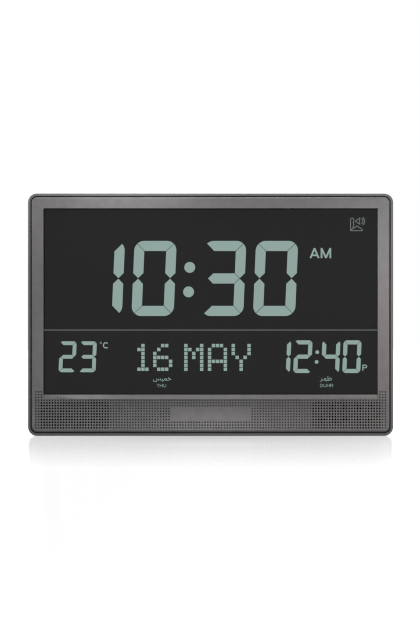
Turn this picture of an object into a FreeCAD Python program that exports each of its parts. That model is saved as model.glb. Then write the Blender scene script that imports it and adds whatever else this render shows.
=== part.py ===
"""A wall and table prayer-time clock with a large segment display.

The frame: X runs to the right of someone who faces the clock, Y runs from its face to its back, and
Z runs up. The origin is under the middle of the case, on the surface that the clock stands on.
Places along Y are given as a depth behind the bezel's face. All sizes are millimetres.

The case is a moulded tray, closed at the front by a moulded bezel. The bezel carries the window, the
display module and two loudspeakers, and the tray carries the battery bay, the keys and a fold-out leg.
"""

import FreeCAD
import Part
import math
import os
from collections import namedtuple

Vector = FreeCAD.Vector

# ---- Working values of the modelling itself ----
OVERSHOOT = 1.0  # how far a cutter runs past the wall that it opens
ROOT = 1.0  # how far a piece runs into the one that it grows out of
TOUCHING = 1e-6  # points nearer than this are one point
SAME_DEPTH = 1e-3  # edges nearer than this lie at one depth
QUARTER_TURN = (0, 45, 90)  # start, middle and end of a rounded corner, in degrees

# ---- Display window and glass ----
WINDOW_WIDTH = 311.0
WINDOW_HEIGHT = 173.4
GLASS_OVERLAP = 2.2  # how far the lens and the glass reach behind the bezel
LENS_THICKNESS = 2.0
LENS_GAP = 0.3  # air between the lens and the display
POLARISER_THICKNESS = 0.25
GLASS_THICKNESS = 1.1
GUIDE_THICKNESS = 3.0
REFLECTOR_THICKNESS = 0.3
GLASS_CLEARANCE = 0.2
LAMP_COUNT = 12
GUIDE_INSET = 3.6  # strip along the bottom of the display for the light bar, and along its top for the ribbon

# ---- Display frame ----
FRAME_WALL = 1.3
FRAME_BACK = 2.0
FRAME_CLEARANCE = 0.35
FRAME_SIDE_ROOM = 0.95  # between the frame and the screw bosses at its left and right
FRAME_EAR_WIDTH = 11.0
FRAME_EAR_THICKNESS = 1.8
FRAME_EAR_DEPTH = 9.0  # depth of the ears' front faces
FRAME_EAR_INSET = 29.0  # from the frame's left and right ends to its outer ears
FRAME_LOWER_EAR_X = 44.0
FRAME_RIB_X = 45.0

# ---- Case tray ----
RIM_WIDTH = 2.3  # the tray's side wall, whose edge shows as a rim round the bezel
RIM_SETBACK = 0.5
RIM_ROUND = 1.0
CASE_DEPTH = 36.0
CASE_CORNER = 8.4
CASE_BACK_WALL = 2.4
CASE_BACK_ROUND = 5.0
POST_RADIUS = 4.2
POST_WELL_FLOOR = 2.6

# ---- Bezel ----
GROOVE_WIDTH = 1.1  # shadow groove between the bezel's face and the rim
GROOVE_DEPTH = 2.0
BEZEL_WALL = 2.6
BEZEL_FIT = 0.15
BEZEL_ROUND = 1.1
SKIRT_WALL = 1.8
SKIRT_DEPTH = 12.0
BOSS_RADIUS = 2.7
BOSS_DEPTH = 20.0
BOSS_GAP = 0.1
SILL_HEIGHT = 4.1  # sloped sill under the window
SILL_LIP = 0.7
SCOOP_DEPTH = 1.1  # hollow of the perforated band
SCOOP_MARGIN = 1.2
SCOOP_FADE = 44.0  # length at each end over which the hollow runs out
SCOOP_FAINT = 0.04  # depth that is left of the hollow at its ends

# ---- Loudspeaker grille ----
HOLE_PITCH = 2.58
HOLE_SIZE = 1.5
OPEN_COLUMNS = 25
OPEN_ROWS = 10
GRILLE_MARGIN = 4.1  # lowest row above the bezel's lower edge
GRILLE_SIDE_MARGIN = 7.0

# ---- Loudspeakers ----
SPEAKER_LENGTH = 72.0
SPEAKER_HEIGHT = 29.0
SPEAKER_CLEARANCE = 0.65
SPEAKER_SIDE_GAP = 2.0
SPEAKER_RIM = 2.6
SPEAKER_FLANGE = 1.5
SPEAKER_EAR = 6.4
ROUNDEST = 0.98  # corner radius of a racetrack, as a share of its half height
CLOTH_THICKNESS = 0.4
GASKET_THICKNESS = 2.4
BASKET_DEPTH = 6.5
BASKET_WALL = 0.9
CONE_DEPTH = 4.6
CONE_WALL = 0.5
SURROUND_WIDTH = 2.0
COIL_RADIUS = 5.0
COIL_GAP = 0.3
HOOK_REACH = 1.2  # how far the bezel's hook laps over a loudspeaker's outer end
HOOK_WALL = 1.2
HOOK_WIDTH = 8.0
MAGNET_RADIUS = 11.0
MAGNET_THICKNESS = 6.0
TERMINAL_WIDTH = 3.0
TERMINAL_HEIGHT = 8.0
TERMINAL_RISE = 3.0

# ---- Screws ----
SCREW_RADIUS = 1.4
SCREW_CLEARANCE = 0.05
SCREW_HOLE_RADIUS = 1.7
SCREW_HEAD_RADIUS = 2.8
SCREW_HEAD_HEIGHT = 1.9
SCREW_WELL_RADIUS = 3.2
CASE_SCREW_LENGTH = 11.0
SMALL_SCREW_LENGTH = 5.0
PILOT_SPARE = 1.0  # how much deeper a case screw's pilot hole is than the screw
CASE_SCREW_LOWER = 66.0  # side screws: the lower one above the table, the upper one below the top
CASE_SCREW_UPPER = 60.0
CASE_SCREW_TOP_X = 62.0
CASE_SCREW_SPEAKER_GAP = 12.0

# ---- Circuit board ----
BOARD_END = 9.0  # board beyond the socket's axis
BOARD_BELOW_KEYS = 34.0
BOARD_ABOVE_KEYS = 24.0
BOARD_DEPTH = 17.0
BOARD_THICKNESS = 1.6
STANDOFF_INSET = 5.0

# ---- Keys, volume wheel and power socket on the back ----
KEYS_BELOW_TOP = 77.5  # the row of keys below the case's top
KEY_COUNT = 6
KEY_PITCH = 12.0
KEY_WIDTH = 9.0
KEY_TALL = 6.5
KEY_CORNER = 1.2
KEY_PROUD = 1.1
KEY_CLEARANCE = 0.3
KEY_FLANGE = 1.0
KEY_FLANGE_THICKNESS = 1.0
KEY_FLANGE_GAP = 0.2
KEY_STEM = 4.0
KEY_TRAVEL_GAP = 0.8
SWITCH_SIZE = 6.0
SWITCH_HEIGHT = 3.4
SWITCH_BUTTON_RADIUS = 1.7
SWITCH_BUTTON_HEIGHT = 0.9
PANEL_RECESS = 1.6
PANEL_INSET = 15.0  # from the case's left side
PANEL_TALL = 24.0
PANEL_TO_SOCKET = 12.0
SOCKET_TO_KEY = 17.0
KEY_TO_WHEEL = 16.0
WHEEL_TO_PANEL = 8.0
WHEEL_RADIUS = 10.0
WHEEL_WIDTH = 4.5
WHEEL_CLEARANCE = 0.6
WHEEL_SETBACK = 0.4  # how far the wheel stays in front of the case's back
WHEEL_TEETH = 24
WHEEL_TOOTH_DEPTH = 0.5
WHEEL_SHAFT_RADIUS = 2.0
SHAFT_INSET = 1.0  # shaft's end, in from the volume control's left side
RUNNING_CLEARANCE = 0.05
CONTROL_SIZE = 9.0
CONTROL_LENGTH = 6.5
SOCKET_SIZE = 9.5
SOCKET_BORE = 3.0
SOCKET_BORE_DEPTH = 9.0
SOCKET_PIN_RADIUS = 1.0
SOCKET_PORT_RADIUS = 5.2
SOCKET_GAP = 0.1

# ---- Battery bay ----
CELL_RADIUS = 7.25
CELL_LENGTH = 49.5
CELL_NUB_RADIUS = 2.7
CELL_NUB_LENGTH = 1.0
CELL_PITCH = 15.0
CELL_COUNT = 4
CELL_SIDE_GAP = 0.3
SPRING_LENGTH = 5.0
SPRING_WIRE = 0.8
SPRING_TURNS = 3
SPRING_TAPER = 0.6  # radius at the cell, as a share of the radius at the plate
SPRING_STEPS = 8  # straight pieces to a turn
CONTACT_THICKNESS = 0.4
CONTACT_SIZE = 11.0
BAY_TO_LEG = 23.0  # between the battery bay and the leg's recess
BAY_BOTTOM = 60.0
BAY_FLOOR = 1.6
BAY_WALL = 2.4
DOOR_LEDGE = 1.6
DOOR_THICKNESS = 2.0
DOOR_CLEARANCE = 0.25
DOOR_TAB_WIDTH = 8.0
DOOR_TAB_LENGTH = 1.6
DOOR_TAB_THICKNESS = 1.0
DOOR_TAB_ROOM = 0.5
TONGUE_WIDTH = 14.0
TONGUE_LENGTH = 13.0
TONGUE_SLIT = 1.0
TONGUE_RIDGE = 0.7
GRIP_COUNT = 3  # grooves across the tongue for a finger, each as wide as its slits
GRIP_FIRST = 3  # first groove below the door's top, in slit widths
GRIP_STEP = 2
THUMB_RADIUS = 9.0
THUMB_DEPTH = 1.7

# ---- Fold-out leg ----
LEG_WIDTH = 60.0
LEG_THICKNESS = 5.0
LEG_HINGE_HEIGHT = 84.0
LEG_TIP_HEIGHT = 1.5
LEG_CLEARANCE = 0.6
LEG_SKIN = 2.0
LEG_RIB = 1.8
LEG_POCKETS = 3
LEG_TIP_BEVEL = 3.6
LEG_BACK_GAP = 0.4
LEG_PIN_RADIUS = 1.5
LEG_BAY_WALL = 2.4

# ---- Wall hanging and vents ----
KEYHOLE_SPACING = 200.0
KEYHOLE_BELOW_TOP = 30.0
KEYHOLE_ENTRY_RADIUS = 4.25
KEYHOLE_SLOT_WIDTH = 4.6
KEYHOLE_SLOT_LENGTH = 10.0
VENT_COUNT = 9
VENT_PITCH = 5.0
VENT_WIDTH = 2.0
VENT_LENGTH = 17.0

# ---- Ribbon ----
RIBBON_WIDTH = 56.0
RIBBON_THICKNESS = 0.3
RIBBON_BEND = 2.0

# ---- Parts on the board ----
BoardPart = namedtuple("BoardPart", "along up width tall rise")  # place from the board's lower left corner
PROCESSOR = BoardPart(34.0, 11.0, 14.0, 14.0, 1.4)
AMPLIFIER = BoardPart(68.0, 14.0, 10.0, 5.0, 1.6)
CRYSTAL = BoardPart(56.0, 15.0, 8.0, 3.0, 3.2)
HEADERS = [BoardPart(along, 1.0, 6.0, 6.0, 6.0) for along in (21.0, 45.0, 69.0)]
CAPACITOR_RADIUS = 3.2
CAPACITOR_HEIGHT = 8.5
CAPACITORS_ALONG = (32.0, 42.0)
CAPACITORS_UP = 48.0
SENSOR_RADIUS = 1.5
SENSOR_HEIGHT = 3.0
SENSOR_PLACE = (14.0, 6.0)
RIBBON_SOCKET_TALL = 3.0
RIBBON_SOCKET_MARGIN = 1.0

# ---- Places that follow from those sizes ----
SKIRT_OFFSET = RIM_WIDTH + BEZEL_FIT  # outside of the skirt, in from the case's outside
FACE_OFFSET = RIM_WIDTH + GROOVE_WIDTH  # edge of the bezel's face, in from the case's outside
SKIRT_INSIDE = SKIRT_OFFSET + SKIRT_WALL
GLASS_POCKET = GLASS_OVERLAP + GLASS_CLEARANCE + FRAME_WALL
BOSS_ROOM = 2 * BOSS_RADIUS + BOSS_GAP + SKIRT_INSIDE - FACE_OFFSET
SIDE_BORDER = GLASS_POCKET + FRAME_SIDE_ROOM + BOSS_ROOM
TOP_BORDER = GLASS_POCKET + FRAME_CLEARANCE + BOSS_ROOM
CHIN_HEIGHT = SKIRT_INSIDE - FACE_OFFSET + SPEAKER_HEIGHT + 2 * SPEAKER_CLEARANCE + GLASS_POCKET + BOSS_GAP
CASE_WIDTH = WINDOW_WIDTH + 2 * (SIDE_BORDER + FACE_OFFSET)
CASE_HEIGHT = WINDOW_HEIGHT + TOP_BORDER + CHIN_HEIGHT + 2 * FACE_OFFSET
HALF_CASE = CASE_WIDTH / 2
WINDOW_LEFT = -WINDOW_WIDTH / 2
WINDOW_BOTTOM = FACE_OFFSET + CHIN_HEIGHT
WINDOW_TOP = WINDOW_BOTTOM + WINDOW_HEIGHT

LENS_BACK = BEZEL_WALL + LENS_THICKNESS
FRONT_FILM = LENS_BACK + LENS_GAP
FRONT_GLASS = FRONT_FILM + POLARISER_THICKNESS
REAR_GLASS = FRONT_GLASS + GLASS_THICKNESS
REAR_FILM = REAR_GLASS + GLASS_THICKNESS
GUIDE_FRONT = REAR_FILM + POLARISER_THICKNESS
REFLECTOR_FRONT = GUIDE_FRONT + GUIDE_THICKNESS
FRAME_INNER_BACK = REFLECTOR_FRONT + REFLECTOR_THICKNESS
FRAME_OUTER_BACK = FRAME_INNER_BACK + FRAME_BACK
FRAME_OVERHANG = GLASS_OVERLAP + GLASS_CLEARANCE + FRAME_WALL

BACK_INSIDE = CASE_DEPTH - CASE_BACK_WALL
PANEL_FLOOR = CASE_DEPTH - PANEL_RECESS
PANEL_INSIDE = PANEL_FLOOR - CASE_BACK_WALL
KEYS_Z = CASE_HEIGHT - KEYS_BELOW_TOP
PANEL_LEFT = -HALF_CASE + PANEL_INSET
SOCKET_X = PANEL_LEFT + PANEL_TO_SOCKET
KEY_XS = tuple(SOCKET_X + SOCKET_TO_KEY + n * KEY_PITCH for n in range(KEY_COUNT))
KEY_NAMES = ("mode_key", "set_key", "up_key", "down_key", "alarm_key", "light_key")
WHEEL_X = KEY_XS[-1] + KEY_TO_WHEEL
PANEL_RIGHT = WHEEL_X + WHEEL_TO_PANEL
CONTROL_RIGHT = WHEEL_X - WHEEL_WIDTH / 2 - WHEEL_CLEARANCE
CONTROL_LEFT = CONTROL_RIGHT - CONTROL_LENGTH
BOARD_BACK = BOARD_DEPTH + BOARD_THICKNESS
BOARD_LEFT = SOCKET_X - BOARD_END
BOARD_RIGHT = (CONTROL_LEFT + CONTROL_RIGHT) / 2
BOARD_MIDDLE = (BOARD_LEFT + BOARD_RIGHT) / 2
BOARD_BOTTOM = KEYS_Z - BOARD_BELOW_KEYS
BOARD_TOP = KEYS_Z + BOARD_ABOVE_KEYS
POST_FRONT = BOSS_DEPTH + BOSS_GAP
WELL_FLOOR = POST_FRONT + POST_WELL_FLOOR
WHEEL_DEPTH = CASE_DEPTH - WHEEL_SETBACK - WHEEL_RADIUS

LAST_OPEN_COLUMN = math.floor((HALF_CASE - FACE_OFFSET - GRILLE_SIDE_MARGIN) / HOLE_PITCH)
SPEAKER_X = HALF_CASE - SKIRT_INSIDE - SPEAKER_SIDE_GAP - SPEAKER_LENGTH / 2
SPEAKER_Z = SKIRT_INSIDE + SPEAKER_CLEARANCE + SPEAKER_HEIGHT / 2
SPEAKER_FRONT = BEZEL_WALL + CLOTH_THICKNESS + GASKET_THICKNESS
SPEAKER_BACK = SPEAKER_FRONT + SPEAKER_FLANGE

SIDE_SCREW_X = HALF_CASE - SKIRT_INSIDE - BOSS_GAP - BOSS_RADIUS
TOP_SCREW_Z = CASE_HEIGHT - SKIRT_INSIDE - BOSS_GAP - BOSS_RADIUS
BOTTOM_SCREW_Z = SKIRT_INSIDE + BOSS_GAP + BOSS_RADIUS
BOTTOM_SCREW_X = SPEAKER_X - SPEAKER_LENGTH / 2 - SPEAKER_EAR - CASE_SCREW_SPEAKER_GAP
CASE_SCREWS = (
    [(side * SIDE_SCREW_X, z) for side in (-1, 1) for z in (CASE_SCREW_LOWER, CASE_HEIGHT - CASE_SCREW_UPPER)]
    + [(side * CASE_SCREW_TOP_X, TOP_SCREW_Z) for side in (-1, 1)]
    + [(side * BOTTOM_SCREW_X, BOTTOM_SCREW_Z) for side in (-1, 1)]
)
FRAME_TOP = WINDOW_TOP + FRAME_OVERHANG
FRAME_BOTTOM = WINDOW_BOTTOM - FRAME_OVERHANG
FRAME_HALF = WINDOW_WIDTH / 2 + FRAME_OVERHANG
EAR_BOTTOM_Z = FRAME_BOTTOM - FRAME_CLEARANCE - BOSS_RADIUS
OUTER_EAR_X = FRAME_HALF - FRAME_EAR_INSET
FRAME_EARS = (
    [(x, TOP_SCREW_Z) for x in (-OUTER_EAR_X, 0.0, OUTER_EAR_X)]
    + [(side * FRAME_LOWER_EAR_X, EAR_BOTTOM_Z) for side in (-1, 1)]
)
SPEAKER_SCREWS = [
    (side * (SPEAKER_X - SPEAKER_LENGTH / 2 - SPEAKER_EAR / 2), SPEAKER_Z + rise)
    for side in (-1, 1)
    for rise in (-SPEAKER_HEIGHT / 2 + SPEAKER_EAR / 2, SPEAKER_HEIGHT / 2 - SPEAKER_EAR / 2)
]
BOARD_SCREWS = [
    (x, z)
    for x in (BOARD_LEFT + STANDOFF_INSET, BOARD_RIGHT - STANDOFF_INSET)
    for z in (BOARD_BOTTOM + STANDOFF_INSET, BOARD_TOP - STANDOFF_INSET)
]

LEG_BAY_HALF = LEG_WIDTH / 2 + LEG_CLEARANCE
CONTACT_ROOM = SPRING_LENGTH + CELL_NUB_LENGTH + 2 * CONTACT_THICKNESS
BAY_LENGTH = CELL_LENGTH + CONTACT_ROOM
BAY_TALL = CELL_COUNT * CELL_PITCH + CELL_SIDE_GAP
BAY_LEFT = LEG_BAY_HALF + LEG_BAY_WALL + BAY_TO_LEG
BAY_RIGHT = BAY_LEFT + BAY_LENGTH
BAY_TOP = BAY_BOTTOM + BAY_TALL
BAY_MIDDLE = (BAY_LEFT + BAY_RIGHT) / 2
DOOR_FRONT = CASE_DEPTH - DOOR_THICKNESS
CELL_DEPTH = DOOR_FRONT - CELL_SIDE_GAP - CELL_RADIUS
BAY_INNER_FLOOR = CELL_DEPTH - CELL_RADIUS - CELL_SIDE_GAP
DOOR_BOTTOM = BAY_BOTTOM - DOOR_LEDGE
DOOR_TOP = BAY_TOP + DOOR_LEDGE

LEG_BACK = CASE_DEPTH - LEG_BACK_GAP
LEG_FRONT = LEG_BACK - LEG_THICKNESS
LEG_HINGE_DEPTH = LEG_BACK - LEG_THICKNESS / 2
LEG_BAY_FLOOR = LEG_FRONT - LEG_CLEARANCE
LEG_BAY_TOP = LEG_HINGE_HEIGHT + LEG_THICKNESS / 2 + LEG_CLEARANCE
KEYHOLE_Z = CASE_HEIGHT - KEYHOLE_BELOW_TOP


# ---- Shape helpers ----
def y_at(depth):
    """The Y of a depth behind the bezel's face."""
    return depth - CASE_DEPTH / 2


def block(x0, x1, z0, z1, d0, d1):
    """A box between two corners, from depth d0 to d1."""
    return Part.makeBox(x1 - x0, d1 - d0, z1 - z0, Vector(x0, y_at(d0), z0))


def rod(x, z, radius, d0, d1):
    """A round rod that runs front to back."""
    return Part.makeCylinder(radius, d1 - d0, Vector(x, y_at(d0), z), Vector(0, 1, 0))


def cross_rod(x0, x1, z, depth, radius):
    """A round rod that runs left to right."""
    return Part.makeCylinder(radius, x1 - x0, Vector(x0, y_at(depth), z), Vector(1, 0, 0))


def rounded_wire(x0, x1, z0, z1, radius, depth):
    """A rounded rectangle in a plane that faces the front."""
    y = y_at(depth)
    corners = [
        (x1 - radius, z0 + radius, -90),
        (x1 - radius, z1 - radius, 0),
        (x0 + radius, z1 - radius, 90),
        (x0 + radius, z0 + radius, 180),
    ]
    arcs = []
    for cx, cz, start in corners:
        angles = [math.radians(start + turn) for turn in QUARTER_TURN]
        arcs.append([Vector(cx + radius * math.cos(a), y, cz + radius * math.sin(a)) for a in angles])
    edges = []
    for n, arc in enumerate(arcs):
        edges.append(Part.Arc(*arc).toShape())
        following = arcs[(n + 1) % len(arcs)][0]
        if (following - arc[2]).Length > TOUCHING:
            edges.append(Part.makeLine(arc[2], following))
    return Part.Wire(edges)


def rounded_block(x0, x1, z0, z1, radius, d0, d1):
    """A rounded rectangle carried from depth d0 to d1."""
    return Part.Face(rounded_wire(x0, x1, z0, z1, radius, d0)).extrude(Vector(0, d1 - d0, 0))


def case_block(offset, d0, d1):
    """The case's outline, taken in by an offset, from depth d0 to d1."""
    half = HALF_CASE - offset
    return rounded_block(-half, half, offset, CASE_HEIGHT - offset, CASE_CORNER - offset, d0, d1)


def edges_at(shape, depth):
    """The edges that lie wholly at one depth."""
    y = y_at(depth)
    boxes = [(edge, edge.BoundBox) for edge in shape.Edges]
    return [edge for edge, box in boxes if max(abs(box.YMin - y), abs(box.YMax - y)) < SAME_DEPTH]


def side_profile(points, x0, x1):
    """A solid whose outline in depth and height is carried from x0 to x1."""
    corners = [Vector(x0, y_at(depth), z) for depth, z in points]
    return Part.Face(Part.makePolygon(corners + corners[:1])).extrude(Vector(x1 - x0, 0, 0))


def screw(x, z, seat_depth, length):
    """A pan-head screw whose head sits on seat_depth and whose shank points to the front."""
    head = rod(x, z, SCREW_HEAD_RADIUS, seat_depth, seat_depth + SCREW_HEAD_HEIGHT)
    shank = rod(x, z, SCREW_RADIUS, seat_depth - length, seat_depth)
    slot_half = SCREW_RADIUS / 4
    slot = block(
        x - SCREW_HEAD_RADIUS, x + SCREW_HEAD_RADIUS, z - slot_half, z + slot_half,
        seat_depth + SCREW_HEAD_HEIGHT / 2, seat_depth + 2 * SCREW_HEAD_HEIGHT,
    )
    return head.fuse(shank).removeSplitter().cut(slot)


# ---- Bezel ----
def scoop_wire(x, depth):
    """The hollow's section: a shallow arc, closed off in front of the bezel's face."""
    z0 = FACE_OFFSET + SCOOP_MARGIN
    z1 = WINDOW_BOTTOM - SILL_HEIGHT
    low = Vector(x, y_at(0), z0)
    high = Vector(x, y_at(0), z1)
    front_low = Vector(x, y_at(-OVERSHOOT), z0)
    front_high = Vector(x, y_at(-OVERSHOOT), z1)
    arc = Part.Arc(low, Vector(x, y_at(depth), (z0 + z1) / 2), high).toShape()
    corners = [high, front_high, front_low, low]
    return Part.Wire([arc] + [Part.makeLine(a, b) for a, b in zip(corners, corners[1:])])


def scoop_tool():
    """The cutter for the perforated band's hollow, which runs out towards both ends."""
    end = HALF_CASE - FACE_OFFSET - SCOOP_MARGIN
    full = end - SCOOP_FADE
    middle = Part.Face(scoop_wire(-full, SCOOP_DEPTH)).extrude(Vector(2 * full, 0, 0))
    ends = [
        Part.makeLoft([scoop_wire(side * full, SCOOP_DEPTH), scoop_wire(side * end, SCOOP_FAINT)], True, True)
        for side in (-1, 1)
    ]
    return [middle] + ends


def open_holes():
    """The middles of the holes in front of the loudspeakers."""
    first = LAST_OPEN_COLUMN - OPEN_COLUMNS + 1
    bottom = FACE_OFFSET + GRILLE_MARGIN
    return [
        (side * column * HOLE_PITCH, bottom + row * HOLE_PITCH)
        for side in (-1, 1)
        for column in range(first, LAST_OPEN_COLUMN + 1)
        for row in range(OPEN_ROWS)
    ]


def speaker_hook(side):
    """The bezel's hook over a loudspeaker's outer end, joined to the skirt."""
    end = SPEAKER_X + SPEAKER_LENGTH / 2
    near = end + SPEAKER_CLEARANCE / 2
    far = HALF_CASE - SKIRT_INSIDE + SKIRT_WALL / 2
    lip = SPEAKER_BACK + BOSS_GAP
    z0 = SPEAKER_Z - HOOK_WIDTH / 2
    z1 = SPEAKER_Z + HOOK_WIDTH / 2
    near_x = sorted((side * near, side * far))
    tip_x = sorted((side * (end - HOOK_REACH), side * far))
    upright = block(*near_x, z0, z1, BEZEL_WALL, lip + HOOK_WALL)
    hook = block(*tip_x, z0, z1, lip, lip + HOOK_WALL)
    return upright.fuse(hook)


def front_bezel():
    """The moulded bezel: face, skirt, window, sill, perforated band and screw bosses."""
    face = case_block(FACE_OFFSET, 0, BEZEL_WALL)
    face = face.makeFillet(BEZEL_ROUND, edges_at(face, 0))
    skirt = case_block(SKIRT_OFFSET, GROOVE_DEPTH, SKIRT_DEPTH)
    hollow = case_block(SKIRT_INSIDE, BEZEL_WALL, SKIRT_DEPTH + OVERSHOOT)
    window = block(WINDOW_LEFT, -WINDOW_LEFT, WINDOW_BOTTOM, WINDOW_TOP, -1, SKIRT_DEPTH)
    sill_depth = BEZEL_WALL - SILL_LIP
    sill = side_profile(
        [(0, WINDOW_BOTTOM - SILL_HEIGHT), (sill_depth, WINDOW_BOTTOM),
         (-OVERSHOOT, WINDOW_BOTTOM + OVERSHOOT), (-OVERSHOOT, WINDOW_BOTTOM - SILL_HEIGHT)],
        WINDOW_LEFT, -WINDOW_LEFT,
    )
    shell = face.fuse(skirt).cut([hollow, window, sill] + scoop_tool()).removeSplitter()
    bosses = [rod(x, z, BOSS_RADIUS, BEZEL_WALL, BOSS_DEPTH) for x, z in CASE_SCREWS]
    bosses += [rod(x, z, BOSS_RADIUS, BEZEL_WALL, FRAME_EAR_DEPTH) for x, z in FRAME_EARS]
    bosses += [rod(x, z, BOSS_RADIUS, BEZEL_WALL, SPEAKER_FRONT) for x, z in SPEAKER_SCREWS]
    pilot = SCREW_RADIUS + SCREW_CLEARANCE
    case_pilot_front = WELL_FLOOR - CASE_SCREW_LENGTH - PILOT_SPARE
    pilots = [rod(x, z, pilot, case_pilot_front, BOSS_DEPTH + OVERSHOOT) for x, z in CASE_SCREWS]
    seats = [(x, z, FRAME_EAR_DEPTH + FRAME_EAR_THICKNESS) for x, z in FRAME_EARS]
    seats += [(x, z, SPEAKER_BACK) for x, z in SPEAKER_SCREWS]
    pilots += [rod(x, z, pilot, seat - SMALL_SCREW_LENGTH - SCREW_CLEARANCE, seat) for x, z, seat in seats]
    half = HOLE_SIZE / 2
    back = BEZEL_WALL + OVERSHOOT
    holes = [block(x - half, x + half, z - half, z + half, -OVERSHOOT, back) for x, z in open_holes()]
    hooks = [speaker_hook(side) for side in (-1, 1)]
    return shell.multiFuse(bosses + hooks).cut(pilots + holes)


# ---- Display ----
def display_plate(d0, d1, below=0.0, above=0.0):
    """A plate as large as the display glass, cut short at its bottom and top."""
    return block(
        WINDOW_LEFT - GLASS_OVERLAP, -WINDOW_LEFT + GLASS_OVERLAP,
        WINDOW_BOTTOM - GLASS_OVERLAP + below, WINDOW_TOP + GLASS_OVERLAP - above, d0, d1,
    )


def ribbon_slot(room):
    """The cut in the display frame that the ribbon passes through."""
    top = WINDOW_TOP + GLASS_OVERLAP
    half = RIBBON_WIDTH / 2 + room
    return block(
        BOARD_MIDDLE - half, BOARD_MIDDLE + half, top - GUIDE_INSET, top, FRAME_INNER_BACK - OVERSHOOT,
        FRAME_OUTER_BACK + OVERSHOOT,
    )


def display_frame():
    """The moulded tray that holds the lens and the display against the bezel and carries the board."""
    outer = block(-FRAME_HALF, FRAME_HALF, FRAME_BOTTOM, FRAME_TOP, BEZEL_WALL + BOSS_GAP, FRAME_OUTER_BACK)
    inner = block(
        -FRAME_HALF + FRAME_WALL, FRAME_HALF - FRAME_WALL, FRAME_BOTTOM + FRAME_WALL, FRAME_TOP - FRAME_WALL,
        0, FRAME_INNER_BACK,
    )
    half = FRAME_EAR_WIDTH / 2
    ears = []
    for x, z in FRAME_EARS:
        near = FRAME_TOP - FRAME_WALL if z > FRAME_TOP else FRAME_BOTTOM + FRAME_WALL
        far = z + math.copysign(BOSS_RADIUS, z - near)
        ears.append(block(
            x - half, x + half, min(near, far), max(near, far),
            FRAME_EAR_DEPTH, FRAME_EAR_DEPTH + FRAME_EAR_THICKNESS,
        ))
    ear_holes = [rod(x, z, SCREW_HOLE_RADIUS, 0, FRAME_OUTER_BACK) for x, z in FRAME_EARS]
    standoffs = [rod(x, z, BOSS_RADIUS, FRAME_OUTER_BACK - ROOT, BOARD_DEPTH) for x, z in BOARD_SCREWS]
    end = BOARD_BACK - SMALL_SCREW_LENGTH - SCREW_CLEARANCE
    pilot = SCREW_RADIUS + SCREW_CLEARANCE
    pilots = [rod(x, z, pilot, end, BOARD_DEPTH + OVERSHOOT) for x, z in BOARD_SCREWS]
    rib = FRAME_BACK / 2
    ribs = [
        block(x - rib, x + rib, FRAME_BOTTOM + BOSS_RADIUS, FRAME_TOP - BOSS_RADIUS,
              FRAME_OUTER_BACK - rib, FRAME_OUTER_BACK + rib)
        for x in (-FRAME_RIB_X, 0.0, FRAME_RIB_X)
    ]
    body = outer.cut(inner).multiFuse(ears + standoffs + ribs)
    return body.cut(ear_holes + pilots + [ribbon_slot(GLASS_CLEARANCE)])


def light_bar():
    """The strip of lamps under the light guide: its own small board, and the lamps on it."""
    bottom = WINDOW_BOTTOM - GLASS_OVERLAP
    strip = block(WINDOW_LEFT, -WINDOW_LEFT, bottom, bottom + GLASS_THICKNESS, GUIDE_FRONT, REFLECTOR_FRONT)
    lamp_top = bottom + GUIDE_INSET - GLASS_CLEARANCE
    pitch = WINDOW_WIDTH / LAMP_COUNT
    lamp_half = GUIDE_THICKNESS / 2
    lamps = [
        block(x - lamp_half, x + lamp_half, bottom + GLASS_THICKNESS, lamp_top,
              GUIDE_FRONT + GLASS_CLEARANCE, REFLECTOR_FRONT - GLASS_CLEARANCE)
        for x in (WINDOW_LEFT + (n + 0.5) * pitch for n in range(LAMP_COUNT))
    ]
    return strip, Part.makeCompound(lamps)


def ribbon():
    """The flat lead from the rear glass's top edge, back through the frame and down to the board."""
    z = WINDOW_TOP + GLASS_OVERLAP - GUIDE_INSET / 2
    back = FRAME_OUTER_BACK + RIBBON_BEND
    outer = z + RIBBON_THICKNESS
    outer_back = back + RIBBON_THICKNESS
    bend = RIBBON_BEND / 2
    outer_bend = bend + RIBBON_THICKNESS
    foot = BOARD_TOP - RIBBON_SOCKET_TALL
    y_inner, y_outer = y_at(back), y_at(outer_back)
    x = BOARD_MIDDLE - RIBBON_WIDTH / 2
    corner_y, corner_z = y_at(back - bend), z - bend
    root_half = math.sqrt(0.5)
    edges = [
        Part.makeLine(Vector(x, y_at(REAR_FILM), z), Vector(x, corner_y, z)),
        Part.Arc(
            Vector(x, corner_y, z),
            Vector(x, corner_y + bend * root_half, corner_z + bend * root_half),
            Vector(x, y_inner, corner_z),
        ).toShape(),
        Part.makeLine(Vector(x, y_inner, corner_z), Vector(x, y_inner, foot)),
        Part.makeLine(Vector(x, y_inner, foot), Vector(x, y_outer, foot)),
        Part.makeLine(Vector(x, y_outer, foot), Vector(x, y_outer, corner_z)),
        Part.Arc(
            Vector(x, y_outer, corner_z),
            Vector(x, corner_y + outer_bend * root_half, corner_z + outer_bend * root_half),
            Vector(x, corner_y, outer),
        ).toShape(),
        Part.makeLine(Vector(x, corner_y, outer), Vector(x, y_at(REAR_FILM), outer)),
        Part.makeLine(Vector(x, y_at(REAR_FILM), outer), Vector(x, y_at(REAR_FILM), z)),
    ]
    return Part.Face(Part.Wire(edges)).extrude(Vector(RIBBON_WIDTH, 0, 0))


# ---- Loudspeakers ----
def speaker_outline(side, inset, depth):
    """A racetrack as large as the loudspeaker, taken in by an inset."""
    half_length = SPEAKER_LENGTH / 2 - inset
    half_height = SPEAKER_HEIGHT / 2 - inset
    x, z = side * SPEAKER_X, SPEAKER_Z
    radius = half_height * ROUNDEST
    return rounded_wire(x - half_length, x + half_length, z - half_height, z + half_height, radius, depth)


def speaker_plug(side, inset, d0, d1):
    """The racetrack outline carried from depth d0 to d1."""
    return Part.Face(speaker_outline(side, inset, d0)).extrude(Vector(0, d1 - d0, 0))


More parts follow.
